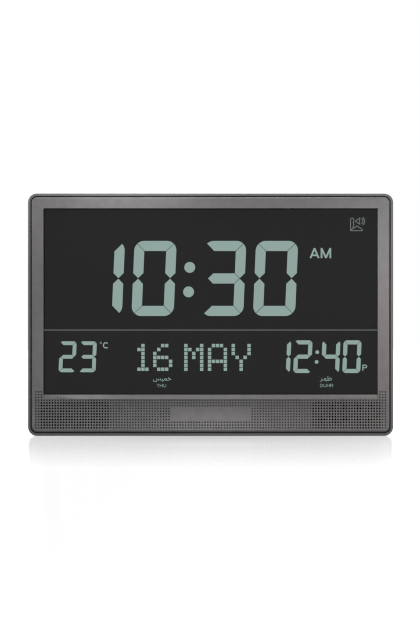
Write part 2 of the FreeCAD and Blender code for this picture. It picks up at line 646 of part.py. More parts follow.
def speaker_cup(side, front_inset, back_half, d0, d1, wall):
    """A thin cup from a racetrack at the front to a small rounded square at the back, open at the front."""
    x, z = side * SPEAKER_X, SPEAKER_Z

    def cup(grow, front, back):
        half = back_half + grow
        small = rounded_wire(x - half, x + half, z - half, z + half, half * ROUNDEST, back)
        return Part.makeLoft([speaker_outline(side, front_inset - grow, front), small], True, True)

    return cup(wall, d0, d1).cut(cup(0, d0 - wall / 2, d1 - wall))


def speaker_frame(side):
    """The pressed frame: flange with two ears, basket and terminal post."""
    inner_x = side * (SPEAKER_X - SPEAKER_LENGTH / 2)
    flange = speaker_plug(side, 0, SPEAKER_FRONT, SPEAKER_BACK)
    ear_x = sorted((inner_x - side * SPEAKER_EAR, inner_x + side * SPEAKER_HEIGHT / 2))
    z0, z1 = SPEAKER_Z - SPEAKER_HEIGHT / 2, SPEAKER_Z + SPEAKER_HEIGHT / 2
    ears = block(ear_x[0], ear_x[1], z0, z1, SPEAKER_FRONT, SPEAKER_BACK)
    mouth = speaker_plug(side, SPEAKER_RIM, SPEAKER_FRONT - OVERSHOOT, SPEAKER_BACK + OVERSHOOT)
    screws = [(x, z) for x, z in SPEAKER_SCREWS if x * side > 0]
    holes = [rod(x, z, SCREW_HOLE_RADIUS, 0, SPEAKER_BACK + OVERSHOOT) for x, z in screws]
    plate = flange.fuse(ears).cut([mouth] + holes)
    start = SPEAKER_BACK - BASKET_WALL / 2
    basket = speaker_cup(side, SPEAKER_RIM, MAGNET_RADIUS, start, SPEAKER_BACK + BASKET_DEPTH, BASKET_WALL)
    ear_end = inner_x - side * SPEAKER_EAR
    post_x = sorted((ear_end, ear_end + side * TERMINAL_WIDTH))
    post = block(
        post_x[0], post_x[1], SPEAKER_Z - TERMINAL_HEIGHT / 2, SPEAKER_Z + TERMINAL_HEIGHT / 2,
        SPEAKER_FRONT, SPEAKER_BACK + TERMINAL_RISE,
    )
    return plate.multiFuse([basket, post])


def speaker_cone(side):
    """The paper cone with its surround, glued in the flange's mouth, and the coil behind it."""
    x, z = side * SPEAKER_X, SPEAKER_Z
    inner = SPEAKER_RIM + SURROUND_WIDTH
    surround = speaker_plug(side, SPEAKER_RIM, SPEAKER_FRONT, SPEAKER_FRONT + CONE_WALL)
    surround = surround.cut(speaker_plug(side, inner, SPEAKER_FRONT - OVERSHOOT, SPEAKER_BACK))
    end = SPEAKER_FRONT + CONE_DEPTH
    cone = speaker_cup(side, inner, COIL_RADIUS, SPEAKER_FRONT, end, CONE_WALL)
    coil_end = SPEAKER_BACK + BASKET_DEPTH - BASKET_WALL - COIL_GAP
    coil = rod(x, z, COIL_RADIUS, end - CONE_WALL, coil_end)
    return cone.multiFuse([surround, coil])


def speaker_magnet(side):
    """The magnet and its pole plate on the back of the basket."""
    start = SPEAKER_BACK + BASKET_DEPTH
    x, z = side * SPEAKER_X, SPEAKER_Z
    return rod(x, z, MAGNET_RADIUS, start, start + MAGNET_THICKNESS)


def speaker_gasket(side):
    """The foam ring between the cloth and the flange."""
    start = BEZEL_WALL + CLOTH_THICKNESS
    ring = speaker_plug(side, 0, start, SPEAKER_FRONT)
    return ring.cut(speaker_plug(side, SPEAKER_RIM, start - OVERSHOOT, SPEAKER_FRONT + OVERSHOOT))


def speaker_cloth(side):
    """The acoustic cloth glued behind the open holes."""
    return speaker_plug(side, 0, BEZEL_WALL, BEZEL_WALL + CLOTH_THICKNESS)


# ---- Case ----
def keyhole(side):
    """The cut for one wall screw: a round entry with a slot above it."""
    x = side * KEYHOLE_SPACING / 2
    through_back = (BACK_INSIDE - OVERSHOOT, CASE_DEPTH + OVERSHOOT)
    entry = rod(x, KEYHOLE_Z, KEYHOLE_ENTRY_RADIUS, *through_back)
    half = KEYHOLE_SLOT_WIDTH / 2
    bottom, top = KEYHOLE_Z - half, KEYHOLE_Z + KEYHOLE_SLOT_LENGTH
    slot = rounded_block(x - half, x + half, bottom, top, half * ROUNDEST, *through_back)
    return entry.fuse(slot)


def vents(side):
    """The slots behind one loudspeaker."""
    half = VENT_WIDTH / 2
    z0 = SPEAKER_Z - VENT_LENGTH / 2
    middles = [side * SPEAKER_X + (n - (VENT_COUNT - 1) / 2) * VENT_PITCH for n in range(VENT_COUNT)]
    z1 = z0 + VENT_LENGTH
    through_back = (BACK_INSIDE - OVERSHOOT, CASE_DEPTH + OVERSHOOT)
    return [block(x - half, x + half, z0, z1, *through_back) for x in middles]


def key_hole(x):
    """The cut in the panel for one key."""
    half_x = KEY_WIDTH / 2 + KEY_CLEARANCE
    half_z = KEY_TALL / 2 + KEY_CLEARANCE
    return rounded_block(
        x - half_x, x + half_x, KEYS_Z - half_z, KEYS_Z + half_z, KEY_CORNER + KEY_CLEARANCE,
        PANEL_INSIDE - OVERSHOOT, PANEL_FLOOR + OVERSHOOT,
    )


def rear_case():
    """The moulded tray: side walls, back, leg bay, battery bay, key panel, posts, keyholes and vents."""
    outer = case_block(0, RIM_SETBACK, CASE_DEPTH)
    outer = outer.makeFillet(CASE_BACK_ROUND, edges_at(outer, CASE_DEPTH))
    outer = outer.makeFillet(RIM_ROUND, edges_at(outer, RIM_SETBACK))
    cavity = case_block(RIM_WIDTH, 0, BACK_INSIDE)
    cavity = cavity.makeFillet(CASE_BACK_ROUND - RIM_WIDTH, edges_at(cavity, BACK_INSIDE))
    tray = outer.cut(cavity)

    leg_bay = block(
        -LEG_BAY_HALF - LEG_BAY_WALL, LEG_BAY_HALF + LEG_BAY_WALL, 0, LEG_BAY_TOP + LEG_BAY_WALL,
        LEG_BAY_FLOOR - LEG_BAY_WALL, CASE_DEPTH,
    ).common(outer)
    battery_bay = block(
        BAY_LEFT - BAY_WALL, BAY_RIGHT + BAY_WALL, BAY_BOTTOM - BAY_WALL, BAY_TOP + BAY_WALL,
        BAY_INNER_FLOOR - BAY_FLOOR, CASE_DEPTH,
    )
    panel_half = PANEL_TALL / 2
    panel = block(
        PANEL_LEFT - RIM_WIDTH, PANEL_RIGHT + RIM_WIDTH, KEYS_Z - panel_half - RIM_WIDTH,
        KEYS_Z + panel_half + RIM_WIDTH, PANEL_INSIDE, CASE_DEPTH,
    )
    posts = [rod(x, z, POST_RADIUS, POST_FRONT, BACK_INSIDE + ROOT) for x, z in CASE_SCREWS]
    tray = tray.multiFuse([leg_bay, battery_bay, panel] + [p.common(outer) for p in posts])

    behind = CASE_DEPTH + OVERSHOOT
    cuts = [block(-LEG_BAY_HALF, LEG_BAY_HALF, -OVERSHOOT, LEG_BAY_TOP, LEG_BAY_FLOOR, behind)]
    pin_end = LEG_BAY_HALF + LEG_BAY_WALL + OVERSHOOT
    cuts.append(cross_rod(
        -pin_end, pin_end, LEG_HINGE_HEIGHT, LEG_HINGE_DEPTH, LEG_PIN_RADIUS + RUNNING_CLEARANCE))
    cuts.append(block(BAY_LEFT, BAY_RIGHT, BAY_BOTTOM, BAY_TOP, BAY_INNER_FLOOR, CASE_DEPTH + OVERSHOOT))
    cuts.append(block(
        BAY_LEFT - DOOR_LEDGE, BAY_RIGHT + DOOR_LEDGE, DOOR_BOTTOM, DOOR_TOP, DOOR_FRONT - DOOR_CLEARANCE,
        CASE_DEPTH + OVERSHOOT,
    ))
    for x in door_tab_xs():
        half = DOOR_TAB_WIDTH / 2 + DOOR_TAB_ROOM
        cuts.append(block(
            x - half, x + half, DOOR_BOTTOM - DOOR_TAB_LENGTH - DOOR_TAB_ROOM, DOOR_BOTTOM + DOOR_LEDGE,
            DOOR_FRONT - DOOR_TAB_THICKNESS - DOOR_TAB_ROOM, DOOR_FRONT + DOOR_TAB_THICKNESS + DOOR_CLEARANCE,
        ))
    cuts.append(rod(BAY_MIDDLE, DOOR_TOP, THUMB_RADIUS, CASE_DEPTH - THUMB_DEPTH, CASE_DEPTH + OVERSHOOT))
    cuts.append(rounded_block(
        PANEL_LEFT, PANEL_RIGHT, KEYS_Z - panel_half, KEYS_Z + panel_half, KEY_CORNER * 2,
        PANEL_FLOOR, CASE_DEPTH + OVERSHOOT,
    ))
    cuts += [key_hole(x) for x in KEY_XS]
    wheel_half = WHEEL_WIDTH / 2 + WHEEL_CLEARANCE
    reach = math.sqrt(WHEEL_RADIUS**2 - (PANEL_INSIDE - WHEEL_DEPTH) ** 2) + WHEEL_CLEARANCE
    cuts.append(block(
        WHEEL_X - wheel_half, WHEEL_X + wheel_half, KEYS_Z - reach, KEYS_Z + reach,
        PANEL_INSIDE - OVERSHOOT, CASE_DEPTH,
    ))
    cuts.append(rod(SOCKET_X, KEYS_Z, SOCKET_PORT_RADIUS, PANEL_INSIDE - OVERSHOOT, CASE_DEPTH + OVERSHOOT))
    cuts += [keyhole(side) for side in (-1, 1)]
    cuts += vents(-1) + vents(1)
    cuts += [rod(x, z, SCREW_HOLE_RADIUS, 0, CASE_DEPTH + OVERSHOOT) for x, z in CASE_SCREWS]
    cuts += [rod(x, z, SCREW_WELL_RADIUS, WELL_FLOOR, CASE_DEPTH + OVERSHOOT) for x, z in CASE_SCREWS]
    return tray.cut(cuts)


# ---- Battery ----
def door_tab_xs():
    """The middles of the door's two lower tabs."""
    quarter = BAY_LENGTH / 4
    return BAY_MIDDLE - quarter, BAY_MIDDLE + quarter


def battery_door():
    """The lid: a plate with two hinge tabs below and a springy tongue with a ridge above."""
    left = BAY_LEFT - DOOR_LEDGE + DOOR_CLEARANCE
    right = BAY_RIGHT + DOOR_LEDGE - DOOR_CLEARANCE
    bottom, top = DOOR_BOTTOM + DOOR_CLEARANCE, DOOR_TOP - DOOR_CLEARANCE
    plate = block(left, right, bottom, top, DOOR_FRONT, CASE_DEPTH)
    tabs = [
        block(x - DOOR_TAB_WIDTH / 2, x + DOOR_TAB_WIDTH / 2, bottom - DOOR_TAB_LENGTH, bottom + ROOT,
              DOOR_FRONT, DOOR_FRONT + DOOR_TAB_THICKNESS)
        for x in door_tab_xs()
    ]
    half = TONGUE_WIDTH / 2
    ridge = block(
        BAY_MIDDLE - half, BAY_MIDDLE + half, top - ROOT, top + TONGUE_RIDGE,
        CASE_DEPTH - THUMB_DEPTH + DOOR_CLEARANCE, CASE_DEPTH - THUMB_DEPTH / 2,
    )
    slits = [
        block(x - TONGUE_SLIT / 2, x + TONGUE_SLIT / 2, top - TONGUE_LENGTH, top + OVERSHOOT,
              DOOR_FRONT - OVERSHOOT, CASE_DEPTH + OVERSHOOT)
        for x in (BAY_MIDDLE - half - TONGUE_SLIT, BAY_MIDDLE + half + TONGUE_SLIT)
    ]
    grips = [
        block(BAY_MIDDLE - half + TONGUE_SLIT, BAY_MIDDLE + half - TONGUE_SLIT, z, z + TONGUE_SLIT,
              CASE_DEPTH - TONGUE_SLIT / 2, CASE_DEPTH + OVERSHOOT)
        for z in (top - TONGUE_SLIT * (GRIP_FIRST + GRIP_STEP * n) for n in range(GRIP_COUNT))
    ]
    return plate.multiFuse(tabs + [ridge]).cut(slits + grips)


def cell_rows():
    """Each cell's height, and +1 where its nub points right, or -1."""
    first = BAY_BOTTOM + (BAY_TALL - (CELL_COUNT - 1) * CELL_PITCH) / 2
    return [(first + n * CELL_PITCH, 1 if n % 2 == 0 else -1) for n in range(CELL_COUNT)]


def cell(z, nub_side):
    """One AA cell, its nub against the contact plate."""
    plate = BAY_RIGHT - CONTACT_THICKNESS if nub_side > 0 else BAY_LEFT + CONTACT_THICKNESS
    shoulder = plate - nub_side * CELL_NUB_LENGTH
    body = sorted((shoulder, shoulder - nub_side * CELL_LENGTH))
    nub = sorted((plate, shoulder))
    return cross_rod(*body, z, CELL_DEPTH, CELL_RADIUS).fuse(cross_rod(*nub, z, CELL_DEPTH, CELL_NUB_RADIUS))


def contact_spring(z, nub_side):
    """The coil spring behind a cell's flat end, narrower towards the cell."""
    wide = CONTACT_SIZE / 2 - SPRING_WIRE
    narrow = wide * SPRING_TAPER
    start = BAY_LEFT + CONTACT_THICKNESS if nub_side > 0 else BAY_RIGHT - CONTACT_THICKNESS
    room = SPRING_LENGTH - SPRING_WIRE
    steps = SPRING_STEPS * SPRING_TURNS
    points = []
    for n in range(steps + 1):
        share = n / steps
        radius = wide + (narrow - wide) * share
        angle = 2 * math.pi * SPRING_TURNS * share
        x = start + nub_side * (SPRING_WIRE / 2 + room * share)
        points.append(Vector(x, y_at(CELL_DEPTH) + radius * math.cos(angle), z + radius * math.sin(angle)))
    half = SPRING_WIRE / 2
    corners = ((-1, -1), (1, -1), (1, 1), (-1, 1), (-1, -1))
    square = [points[0] + Vector(a * half, b * half, 0) for a, b in corners]
    return Part.makePolygon(points).makePipeShell([Part.makePolygon(square)], True, False, 1)


def contact_plates(z):
    """The two metal plates on the bay's end walls for one cell."""
    half = CONTACT_SIZE / 2
    return [
        block(x, x + CONTACT_THICKNESS, z - half, z + half, CELL_DEPTH - half, CELL_DEPTH + half)
        for x in (BAY_LEFT, BAY_RIGHT - CONTACT_THICKNESS)
    ]


# ---- Leg ----
def stand_leg():
    """The fold-out leg: a ribbed plate on a hinge barrel, bevelled at its tip."""
    half = LEG_WIDTH / 2
    outline = [
        (LEG_FRONT, LEG_TIP_HEIGHT),
        (LEG_BACK - LEG_TIP_BEVEL, LEG_TIP_HEIGHT),
        (LEG_BACK, LEG_TIP_HEIGHT + LEG_TIP_BEVEL),
        (LEG_BACK, LEG_HINGE_HEIGHT),
        (LEG_FRONT, LEG_HINGE_HEIGHT),
    ]
    plate = side_profile(outline, -half, half)
    barrel = cross_rod(-half, half, LEG_HINGE_HEIGHT, LEG_HINGE_DEPTH, LEG_THICKNESS / 2)
    bore = cross_rod(
        -half - OVERSHOOT, half + OVERSHOOT, LEG_HINGE_HEIGHT, LEG_HINGE_DEPTH,
        LEG_PIN_RADIUS + RUNNING_CLEARANCE,
    )
    pocket_top = LEG_HINGE_HEIGHT - LEG_THICKNESS
    pocket_bottom = LEG_TIP_HEIGHT + LEG_THICKNESS
    room = (LEG_WIDTH - LEG_RIB * (LEG_POCKETS + 1)) / LEG_POCKETS
    pockets = [
        block(x, x + room, pocket_bottom, pocket_top, LEG_FRONT - OVERSHOOT, LEG_BACK - LEG_SKIN)
        for x in (-half + LEG_RIB + n * (room + LEG_RIB) for n in range(LEG_POCKETS))
    ]
    return plate.fuse(barrel).cut(pockets + [bore])


def leg_hinge_pin():
    """The steel pin through the leg's barrel, held at both ends by the bay's walls."""
    end = LEG_BAY_HALF + LEG_BAY_WALL
    return cross_rod(-end, end, LEG_HINGE_HEIGHT, LEG_HINGE_DEPTH, LEG_PIN_RADIUS)


# ---- Board, keys and controls ----
def main_board():
    """The circuit board, with its screw holes."""
    board = block(BOARD_LEFT, BOARD_RIGHT, BOARD_BOTTOM, BOARD_TOP, BOARD_DEPTH, BOARD_BACK)
    return board.cut([rod(x, z, SCREW_HOLE_RADIUS, 0, BOARD_BACK + OVERSHOOT) for x, z in BOARD_SCREWS])


def key_switch(x):
    """The push switch on the board behind one key."""
    half = SWITCH_SIZE / 2
    can = block(x - half, x + half, KEYS_Z - half, KEYS_Z + half, BOARD_BACK, BOARD_BACK + SWITCH_HEIGHT)
    top = BOARD_BACK + SWITCH_HEIGHT + SWITCH_BUTTON_HEIGHT
    return can.fuse(rod(x, KEYS_Z, SWITCH_BUTTON_RADIUS, BOARD_BACK + SWITCH_HEIGHT / 2, top))


def key(x):
    """One key: rounded cap, retaining flange behind the panel and a stem that reaches for the switch."""
    half_x, half_z = KEY_WIDTH / 2, KEY_TALL / 2
    flange_back = PANEL_INSIDE - KEY_FLANGE_GAP
    flange_front = flange_back - KEY_FLANGE_THICKNESS
    reach = KEY_CLEARANCE + KEY_FLANGE
    cap = rounded_block(
        x - half_x, x + half_x, KEYS_Z - half_z, KEYS_Z + half_z, KEY_CORNER,
        flange_front, PANEL_FLOOR + KEY_PROUD,
    )
    cap = cap.makeChamfer(KEY_CORNER / 3, edges_at(cap, PANEL_FLOOR + KEY_PROUD))
    flange = block(
        x - half_x - reach, x + half_x + reach, KEYS_Z - half_z - reach, KEYS_Z + half_z + reach,
        flange_front, flange_back,
    )
    stem_front = BOARD_BACK + SWITCH_HEIGHT + SWITCH_BUTTON_HEIGHT + KEY_TRAVEL_GAP
    stem = block(
        x - KEY_STEM / 2, x + KEY_STEM / 2, KEYS_Z - KEY_STEM / 2, KEYS_Z + KEY_STEM / 2,
        stem_front, flange_back,
    )
    return cap.multiFuse([flange, stem]).removeSplitter()


def volume_wheel():
    """The toothed thumb wheel and its shaft."""
    points = []
    for n in range(WHEEL_TEETH * 2):
        radius = WHEEL_RADIUS - (WHEEL_TOOTH_DEPTH if n % 2 else 0)
        angle = math.pi * n / WHEEL_TEETH
        points.append((WHEEL_DEPTH + radius * math.cos(angle), KEYS_Z + radius * math.sin(angle)))
    rim = side_profile(points, WHEEL_X - WHEEL_WIDTH / 2, WHEEL_X + WHEEL_WIDTH / 2)
    shaft = cross_rod(CONTROL_LEFT + SHAFT_INSET, WHEEL_X, KEYS_Z, WHEEL_DEPTH, WHEEL_SHAFT_RADIUS)
    return rim.fuse(shaft).removeSplitter()


def volume_control():
    """The control's body on the board, with the bore for the wheel's shaft."""
    half = CONTROL_SIZE / 2
    body = block(CONTROL_LEFT, CONTROL_RIGHT, KEYS_Z - half, KEYS_Z + half, BOARD_BACK, WHEEL_DEPTH + half)
    bore = WHEEL_SHAFT_RADIUS + RUNNING_CLEARANCE
    return body.cut(cross_rod(CONTROL_LEFT - OVERSHOOT, CONTROL_RIGHT + OVERSHOOT, KEYS_Z, WHEEL_DEPTH, bore))


def power_socket():
    """The barrel socket on the board: a body with a round well and a middle pin."""
    half = SOCKET_SIZE / 2
    face = PANEL_INSIDE - SOCKET_GAP
    body = block(SOCKET_X - half, SOCKET_X + half, KEYS_Z - half, KEYS_Z + half, BOARD_BACK, face)
    well = rod(SOCKET_X, KEYS_Z, SOCKET_BORE, face - SOCKET_BORE_DEPTH, face + OVERSHOOT)
    pin = rod(SOCKET_X, KEYS_Z, SOCKET_PIN_RADIUS, face - SOCKET_BORE_DEPTH - ROOT, face - SOCKET_PIN_RADIUS)
    return body.cut(well).fuse(pin)


def soldered(part, front_side=False):
    """A plain block for one part on the board's back, or on its front."""
    x, z = BOARD_LEFT + part.along, BOARD_BOTTOM + part.up
    d0 = BOARD_DEPTH - part.rise if front_side else BOARD_BACK
    return block(x, x + part.width, z, z + part.tall, d0, d0 + part.rise)


def board_parts():
    """The parts soldered to the board, by node name."""
    half_ribbon = RIBBON_WIDTH / 2 + RIBBON_SOCKET_MARGIN
    can_z = BOARD_BOTTOM + CAPACITORS_UP
    can_end = BOARD_BACK + CAPACITOR_HEIGHT
    can_xs = [BOARD_LEFT + along for along in CAPACITORS_ALONG]
    cans = [rod(x, can_z, CAPACITOR_RADIUS, BOARD_BACK, can_end) for x in can_xs]
    return {
        "processor_chip": soldered(PROCESSOR, front_side=True),
        "amplifier_chip": soldered(AMPLIFIER),
        "crystal": soldered(CRYSTAL),
        "capacitors": Part.makeCompound(cans),
        "ribbon_socket": block(
            BOARD_MIDDLE - half_ribbon, BOARD_MIDDLE + half_ribbon, BOARD_TOP - 2 * RIBBON_SOCKET_TALL,
            BOARD_TOP - RIBBON_SOCKET_TALL, FRAME_OUTER_BACK + RIBBON_BEND / 2, BOARD_DEPTH,
        ),
        "temperature_sensor": rod(
            BOARD_LEFT + SENSOR_PLACE[0], BOARD_BOTTOM + SENSOR_PLACE[1], SENSOR_RADIUS, BOARD_BACK,
            BOARD_BACK + SENSOR_HEIGHT,
        ),
        "lead_headers": Part.makeCompound([soldered(part) for part in HEADERS]),
    }


# ---- The whole clock ----
def build():
    """Every node of the clock, by name."""
    sides = (-1, 1)
    rows = cell_rows()
    strip, lamps = light_bar()
    ear_seat = FRAME_EAR_DEPTH + FRAME_EAR_THICKNESS

    def group(shapes):
        return Part.makeCompound(list(shapes))

    nodes = {
        "front_bezel": front_bezel(),
        "window_lens": display_plate(BEZEL_WALL, LENS_BACK),
        "front_polariser": display_plate(FRONT_FILM, FRONT_GLASS),
        "front_glass": display_plate(FRONT_GLASS, REAR_GLASS),
        "rear_glass": display_plate(REAR_GLASS, REAR_FILM),
        "rear_polariser": display_plate(REAR_FILM, GUIDE_FRONT, GUIDE_INSET, GUIDE_INSET),
        "light_guide": display_plate(GUIDE_FRONT, REFLECTOR_FRONT, GUIDE_INSET, GUIDE_INSET),
        "reflector_sheet": display_plate(REFLECTOR_FRONT, FRAME_INNER_BACK, GUIDE_INSET, GUIDE_INSET),
        "light_bar": strip,
        "light_bar_lamps": lamps,
        "display_frame": display_frame(),
        "display_ribbon": ribbon(),
        "speaker_frames": group(speaker_frame(side) for side in sides),
        "speaker_cones": group(speaker_cone(side) for side in sides),
        "speaker_magnets": group(speaker_magnet(side) for side in sides),
        "speaker_gaskets": group(speaker_gasket(side) for side in sides),
        "speaker_cloths": group(speaker_cloth(side) for side in sides),
        "rear_case": rear_case(),
        "battery_door": battery_door(),
        "battery_cells": group(cell(z, nub_side) for z, nub_side in rows),
        "battery_springs": group(contact_spring(z, nub_side) for z, nub_side in rows),
        "battery_contacts": group(plate for z, _ in rows for plate in contact_plates(z)),
        "stand_leg": stand_leg(),
        "leg_hinge_pin": leg_hinge_pin(),
        "main_board": main_board(),
        "key_switches": group(key_switch(x) for x in KEY_XS),
        "volume_wheel": volume_wheel(),
        "volume_control": volume_control(),
        "power_socket": power_socket(),
        "case_screws": group(screw(x, z, WELL_FLOOR, CASE_SCREW_LENGTH) for x, z in CASE_SCREWS),
        "frame_screws": group(screw(x, z, ear_seat, SMALL_SCREW_LENGTH) for x, z in FRAME_EARS),
        "speaker_screws": group(screw(x, z, SPEAKER_BACK, SMALL_SCREW_LENGTH) for x, z in SPEAKER_SCREWS),
        "board_screws": group(screw(x, z, BOARD_BACK, SMALL_SCREW_LENGTH) for x, z in BOARD_SCREWS),
    }
    nodes.update({name: key(x) for name, x in zip(KEY_NAMES, KEY_XS)})
    nodes.update(board_parts())
    return nodes


os.makedirs("parts", exist_ok=True)
for node_name, shape in build().items():
    shape.exportStep(f"parts/{node_name}.step")
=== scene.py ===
"""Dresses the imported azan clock: its painted bezel with the pierced loudspeaker band, the lit display behind
its window, and a finish for every moulded, metal and electronic part.

Lengths in the classes are millimetres. A point is written x, depth, z: x to the right as the clock is read,
depth back from the plane of its face, and z up from the table. Shell.build turns points into the row frame.
"""

from __future__ import annotations

import logging
import math
from dataclasses import dataclass, field
from enum import Enum

import bmesh
import bpy
import numpy as np
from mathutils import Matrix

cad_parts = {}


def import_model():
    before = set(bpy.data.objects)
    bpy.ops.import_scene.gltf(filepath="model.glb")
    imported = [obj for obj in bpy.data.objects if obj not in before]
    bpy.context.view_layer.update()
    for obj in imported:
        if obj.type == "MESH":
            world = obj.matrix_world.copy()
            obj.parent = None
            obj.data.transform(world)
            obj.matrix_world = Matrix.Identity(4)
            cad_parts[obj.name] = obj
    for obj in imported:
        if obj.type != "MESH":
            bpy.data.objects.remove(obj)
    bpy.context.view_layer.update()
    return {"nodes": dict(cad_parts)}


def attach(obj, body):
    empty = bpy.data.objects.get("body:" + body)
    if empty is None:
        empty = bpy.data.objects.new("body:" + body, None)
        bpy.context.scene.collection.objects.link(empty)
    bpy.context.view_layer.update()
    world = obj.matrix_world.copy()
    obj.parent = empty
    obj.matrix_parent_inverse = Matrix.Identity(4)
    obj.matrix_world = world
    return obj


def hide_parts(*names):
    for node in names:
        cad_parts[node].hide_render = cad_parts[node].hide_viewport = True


LOG = logging.getLogger("azan_clock")
Tree = bpy.types.NodeTree
Socket = bpy.types.NodeSocket
Piece = bpy.types.Object
Array = np.ndarray
Point = tuple[float, float]

MM = 0.001
WHITE = "#ffffff"
# The plane of the clock's face, in mm along y.
FACE_Y = -18.0
# The body that everything fixed rides on.
ROOT = "clock"
# The face attribute that holds painted shade: how far a face's lacquer colour is mixed toward near-black.
BARE = "painted_recess_shade"
# Points nearer than this, in metres, become one, and edges over this many degrees stay crisp.
WELD = 2e-6
SHARP = 32.0
# A moulded hole's sides, the angle of its first corner, and the four places along the edge of the cell round
# it, from -1 to 1, that face those corners.
SIDES = 12
FIRST_CORNER = 180 / SIDES
STATIONS = np.array([-1.0, -math.tan(math.radians(FIRST_CORNER)), math.tan(math.radians(FIRST_CORNER)), 1.0])
# The noise values between which a finish runs from one colour to the other, and how fine its two noises are.
CLOUD_RANGE = (0.35, 0.65)
CLOUD_DETAIL = 3.0
GRAIN_DETAIL = 2.0
# How far apart the wave texture draws its ridges at a scale of 1.
WAVE_SPACING = 0.314
# The power in Schlick's curve of a clear surface's reflection.
SCHLICK_POWER = 5.0


def linear(code: str) -> tuple[float, float, float, float]:
    """Turns an sRGB hex colour into linear RGBA.

    A channel c becomes ((c + 0.055) / 1.055) to the power 2.4, and c / 12.92 near black.

    Args:
        code: The colour as "#rrggbb".

    Returns:
        The linear colour, with an alpha of 1.
    """
    srgb = np.array([int(code[i : i + 2], 16) for i in (1, 3, 5)]) / 255.0
    rgb = np.where(srgb <= 0.04045, srgb / 12.92, ((srgb + 0.055) / 1.055) ** 2.4)
    return (float(rgb[0]), float(rgb[1]), float(rgb[2]), 1.0)


def add(tree: Tree, kind: str, sockets: dict | None = None, **settings) -> bpy.types.Node:
    """Adds one node with its settings, values and links.

    Args:
        tree: The node tree that takes it.
        kind: Blender's name for the kind of node, without ShaderNode in front.
        sockets: Input name or number to a value, or to the output socket that feeds it.
        **settings: The node's own attributes.

    Returns:
        The new node.
    """
    made = tree.nodes.new("ShaderNode" + kind)
    for key, value in settings.items():
        setattr(made, key, value)
    for key, value in (sockets or {}).items():
        if isinstance(value, Socket):
            tree.links.new(value, made.inputs[key])
        else:
            made.inputs[key].default_value = value
    return made


def grid_faces(rows: int, columns: int, closed: bool = False) -> Array:
    """Numbers the quads between neighbours on a grid of points that is counted row by row.

    Quad (r, c) has the corners r * columns + c, the next column's, and the same two a row further on.

    Args:
        rows: How many rows of points there are.
        columns: How many points a row has.
        closed: Whether the last column joins the first.

    Returns:
        An array of quads, four point numbers each.
    """
    r, c = np.meshgrid(np.arange(rows - 1), np.arange(columns - (not closed)), indexing="ij")
    n = (c + 1) % columns
    corners = [r * columns + c, r * columns + n, (r + 1) * columns + n, (r + 1) * columns + c]
    return np.stack(corners, -1).reshape(-1, 4)


def pair(x: Array | float, z: Array | float) -> Array:
    """Joins x and z into points. Either may be one number for all of them."""
    return np.column_stack(np.broadcast_arrays(x, z))


def lift(flat: Array, depth: Array | float) -> Array:
    """Turns points in x and z into x, depth, z."""
    deep = np.broadcast_to(np.asarray(depth, float), flat.shape[:-1])
    return np.stack([flat[..., 0], deep, flat[..., 1]], -1)


def arc(middle: Point, radius: float | Point, start: float, end: float, steps: int = 9) -> Array:
    """Gives points on part of an ellipse: middle + radius * (cos, sin), from one angle to another.

    Args:
        middle: Its middle.
        radius: Its radius, or its half-widths across and up.
        start: The first angle in degrees.
        end: The last angle in degrees.
        steps: How many points there are.

    Returns:
        The points in x and z.
    """
    turn = np.radians(np.linspace(start, end, steps))
    return np.array(middle) + np.array(radius) * pair(np.cos(turn), np.sin(turn))


def circle(middle: Point, radius: float, steps: int) -> Array:
    """Gives points all round a circle, counter-clockwise from its right-hand side."""
    return arc(middle, radius, 0, 360 - 360 / steps, steps)


@dataclass
class Shell:
    """Points and faces gathered from several patches, which become one closed mesh."""

    points: list[Array] = field(default_factory=list)
    faces: list[Array] = field(default_factory=list)
    bare: list[Array] = field(default_factory=list)
    count: int = 0

    def add(self, points: Array, *faces: Array, bare: Array | float = 0.0) -> None:
        """Adds a patch.

        Args:
            points: Points as x, depth, z in mm, in any array that ends in three columns.
            *faces: Arrays of point numbers within the patch, one polygon size in each.
            bare: How much painted shade darkens each face: 0 none, 1 fully near-black.
        """
        flat = np.asarray(points, float).reshape(-1, 3)
        kept = [np.atleast_2d(f) + self.count for f in faces if np.size(f)]
        self.points.append(flat)
        self.faces += kept
        self.bare.append(np.broadcast_to(np.asarray(bare, float), sum(len(f) for f in kept)))
        self.count += len(flat)

    def polygon(self, points: Array) -> None:
        """Adds one flat polygon through the points, in their order."""
        self.add(points, np.arange(len(points))[None])

    def prism(self, outline: Array, front: float, back: float) -> None:
        """Adds a thin closed plate: an outline in x and z, carried from one depth to another.

        Args:
            outline: The outline's points, counter-clockwise as the clock is read.
            front: The depth of its front.
            back: The depth of its back.
        """
        n = len(outline)
        ends = np.concatenate([lift(outline, front), lift(outline, back)])
        self.add(ends, np.arange(n)[None], n + np.arange(n)[::-1][None], grid_faces(2, n, True))

    def build(self, name: str) -> Piece:
        """Makes the object at the origin, in metres, with its doubles merged and its faces outwards.

        Args:
            name: The piece's name.

        Returns:
            The new object.
        """
        co = (np.concatenate(self.points) + (0.0, FACE_Y, 0.0)) * MM
        mesh = bpy.data.meshes.new(name)
        mesh.from_pydata(co, [], [row for f in self.faces for row in f.tolist()])
        mesh.attributes.new(BARE, "FLOAT", "FACE").data.foreach_set("value", np.concatenate(self.bare))
        merged = bmesh.new()
        merged.from_mesh(mesh)
        bmesh.ops.remove_doubles(merged, verts=merged.verts, dist=WELD)
        bmesh.ops.recalc_face_normals(merged, faces=merged.faces)
        merged.to_mesh(mesh)
        merged.free()
        mesh.shade_smooth()
        mesh.set_sharp_from_angle(angle=math.radians(SHARP))
        return place(name, mesh)


def place(name: str, data: bpy.types.ID) -> Piece:
    """Makes an object that holds the data, and links it to the scene.

    Args:
        name: The object's name.
        data: Its mesh, curve, camera or lamp.

    Returns:
        The new object.
    """
    made = bpy.data.objects.new(name, data)
    bpy.context.scene.collection.objects.link(made)
    return made


